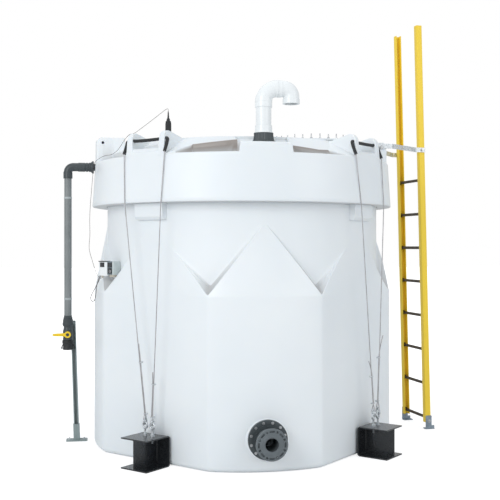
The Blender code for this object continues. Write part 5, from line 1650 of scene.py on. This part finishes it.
def makeAlarm():
    # in local terms: x along the boxes' faces, ending at 0, and -y outward from the tank
    place = Matrix.Translation((*alarm["corner"], 0)) @ toAzimuth(alarm["azimuth"])
    low = alarm["low"]
    high = alarm["high"]
    white = roundedBox((-0.166, 0.0, low), (-0.067, 0.050, high - 0.004), 0.006)
    plate = roundedBox((-0.150, 0.050, low + 0.006), (-0.004, 0.060, high - 0.010), 0.003)
    strut = roundedBox((-0.115, 0.058, low + 0.030), (-0.050, 0.128, high - 0.030), 0.004)
    makePiece("alarmHousing", placed(joined(white, plate, strut), place), "whitePipe",
              replaces=("alarm_box",), bevel=0.0018)
    panels = (((-0.149, -0.0025, high - 0.046), (-0.098, 0.002, high - 0.010), 0.003),
              ((-0.163, -0.006, high - 0.004), (-0.072, 0.040, high + 0.003), 0.004),
              ((-0.060, -0.0025, high - 0.048), (-0.035, 0.002, high - 0.010), 0.002),
              ((-0.031, -0.0025, high - 0.048), (-0.008, 0.002, high - 0.010), 0.002),
              ((-0.058, -0.0022, low + 0.018), (-0.010, 0.002, low + 0.060), 0.003))
    dark = joined(*[roundedBox(*panel) for panel in panels])
    makePiece("alarmPanels", placed(dark, place), "windowBlack", bevel=0.001)
    knob = placed(ringLathe([(0.006, 0), (0.011, 0), (0.0105, 0.005), (0.007, 0.006)], 28),
                  standing((-0.028, -0.0022, low + 0.036), facingFront))
    makePiece("alarmKnob", placed(knob, place), "brightSteel")
    relay = roundedBox((-0.0665, 0.0, low + 0.010), (-0.002, 0.052, high), 0.004)
    makePiece("alarmRelay", placed(relay, place), "relayPlastic", bevel=0.0015)
    # the pale cover's side, with its lower rear corner cut off on a slant
    outline = [(0.000, low + 0.008), (0.000, high), (-0.072, high), (-0.078, high - 0.008),
               (-0.078, low + 0.052), (-0.052, low + 0.008)]
    cover = prism(outline, 0.012, "side", -0.001)
    makePiece("alarmCover", placed(cover, place), "coverPlastic", bevel=0.002, segments=3)
    foot = roundedBox((-0.052, 0.012, low - 0.010), (-0.006, 0.050, low + 0.010), 0.003)
    gland = placed(lathe([(0, 0), (0.0095, 0), (0.0095, 0.008), (0.0070, 0.010),
                          (0.0058, 0.0185), (0, 0.0185)], 20),
                   standing((-0.1326, 0.010, low), (0, 0, -1)))
    makePiece("alarmGland", placed(joined(foot, gland), place), "glandPlastic", bevel=0.001)
    # spare wire hangs in a loop to the left of the boxes
    loop = [(-0.160, 0.020, low + 0.012), (-0.172, 0.020, low - 0.020),
            (-0.212, 0.016, low - 0.085), (-0.252, 0.012, low - 0.140),
            (-0.272, 0.010, low - 0.180), (-0.258, 0.010, low - 0.208),
            (-0.228, 0.010, low - 0.200), (-0.212, 0.012, low - 0.150),
            (-0.205, 0.016, low - 0.080), (-0.185, 0.020, low - 0.020),
            (-0.162, 0.020, low + 0.016)]
    makePiece("alarmLoop", placed(sweep(smoothRoute(loop, 8), 0.0024, 8), place), "wireSheath")


makeAlarm()
print("alarm ready")


# Studio: pale floor, soft light, and the camera of the photograph

camera = {"place": (-1.119, -7.586, 1.640), "turn": -8.9, "lens": 890.9 / 500 * 36,
          "shiftY": -3.9 / 500}
studio = {"half": 60.0, "bounce": (0.80, 0.80, 0.80, 1), "pale": (0.42, 0.42, 0.43, 1),
          "glow": (0.74, 1.0, 1.8, 5.0), "sky": (0.94, 0.97, 1.0, 1), "skyStrength": 0.77,
          "white": (1, 1, 1, 1)}
lights = {"keyLight": {"place": (-6.0, -6.9, 4.5), "target": (0, 0, 1.3), "size": 4, "power": 255},
          "fillLight": {"place": (6.0, -7.0, 4.0), "target": (0, 0, 1.3), "size": 4, "power": 95},
          "topLight": {"place": (0, 0, 7.0), "target": (0, 0, 0), "size": 6, "power": 60}}


def makeCamera():
    # its lens and shift are the solved focal length and horizon in pixels of the photograph
    data = bpy.data.cameras.new("photoCamera")
    data.lens = camera["lens"]
    data.sensor_width = 36
    data.sensor_fit = "HORIZONTAL"
    data.shift_y = camera["shiftY"]
    data.clip_end = 200
    item = linkedObject("photoCamera", data)
    item.location = camera["place"]
    item.rotation_euler = (math.pi / 2, 0, math.radians(camera["turn"]))
    bpy.context.scene.camera = item


def makeLight(name, light):
    # a square panel turned towards its target
    data = bpy.data.lights.new(name, "AREA")
    data.shape = "SQUARE"
    data.size = light["size"]
    data.energy = light["power"]
    item = linkedObject(name, data)
    item.location = light["place"]
    aim = Vector(light["target"]) - Vector(light["place"])
    item.rotation_euler = aim.to_track_quat("-Z", "Y").to_euler()


def cameraMix(tree, other, seen, output):
    # the camera sees one shader, and all other rays the other
    ray = tree.nodes.new("ShaderNodeLightPath")
    mix = tree.nodes.new("ShaderNodeMixShader")
    tree.links.new(ray.outputs["Is Camera Ray"], mix.inputs["Fac"])
    tree.links.new(other.outputs[0], mix.inputs[1])
    tree.links.new(seen.outputs[0], mix.inputs[2])
    tree.links.new(mix.outputs[0], tree.nodes[output].inputs["Surface"])


def makeFloor():
    # seen by the camera it is nearly self-lit white, so only a soft contact shadow shows
    mesh = bpy.data.meshes.new("floor")
    half = studio["half"]
    mesh.from_pydata([(-half, -half, 0), (half, -half, 0), (half, half, 0), (-half, half, 0)], [],
                     [(0, 1, 2, 3)])
    floor = linkedObject("floor", mesh)
    material, tree, shader, place = nodeTools("paleFloor")
    shader.inputs["Base Color"].default_value = studio["bounce"]
    shader.inputs["Roughness"].default_value = 0.9
    pale = tree.nodes.new("ShaderNodeBsdfDiffuse")
    pale.inputs["Color"].default_value = studio["pale"]
    glow = tree.nodes.new("ShaderNodeEmission")
    glow.inputs["Color"].default_value = studio["white"]
    far = tree.nodes.new("ShaderNodeVectorMath")
    far.operation = "LENGTH"
    tree.links.new(place, far.inputs[0])
    strength = rangeNode(tree, far.outputs["Value"], *studio["glow"])
    tree.links.new(strength, glow.inputs["Strength"])
    seen = tree.nodes.new("ShaderNodeAddShader")
    tree.links.new(pale.outputs[0], seen.inputs[0])
    tree.links.new(glow.outputs[0], seen.inputs[1])
    cameraMix(tree, shader, seen, "Material Output")
    mesh.materials.append(material)


def makeWorld():
    # a faintly blue sky lights the tank, and the camera sees white behind it
    world = bpy.data.worlds.new("studio")
    bpy.context.scene.world = world
    world.use_nodes = True
    tree = world.node_tree
    sky = tree.nodes["Background"]
    sky.inputs["Color"].default_value = studio["sky"]
    sky.inputs["Strength"].default_value = studio["skyStrength"]
    seen = tree.nodes.new("ShaderNodeBackground")
    seen.inputs["Color"].default_value = studio["white"]
    seen.inputs["Strength"].default_value = 1.0
    cameraMix(tree, sky, seen, "World Output")


makeCamera()
makeFloor()
makeWorld()
for name, light in lights.items():
    makeLight(name, light)
bpy.context.scene.view_settings.view_transform = "Standard"
print("studio ready")
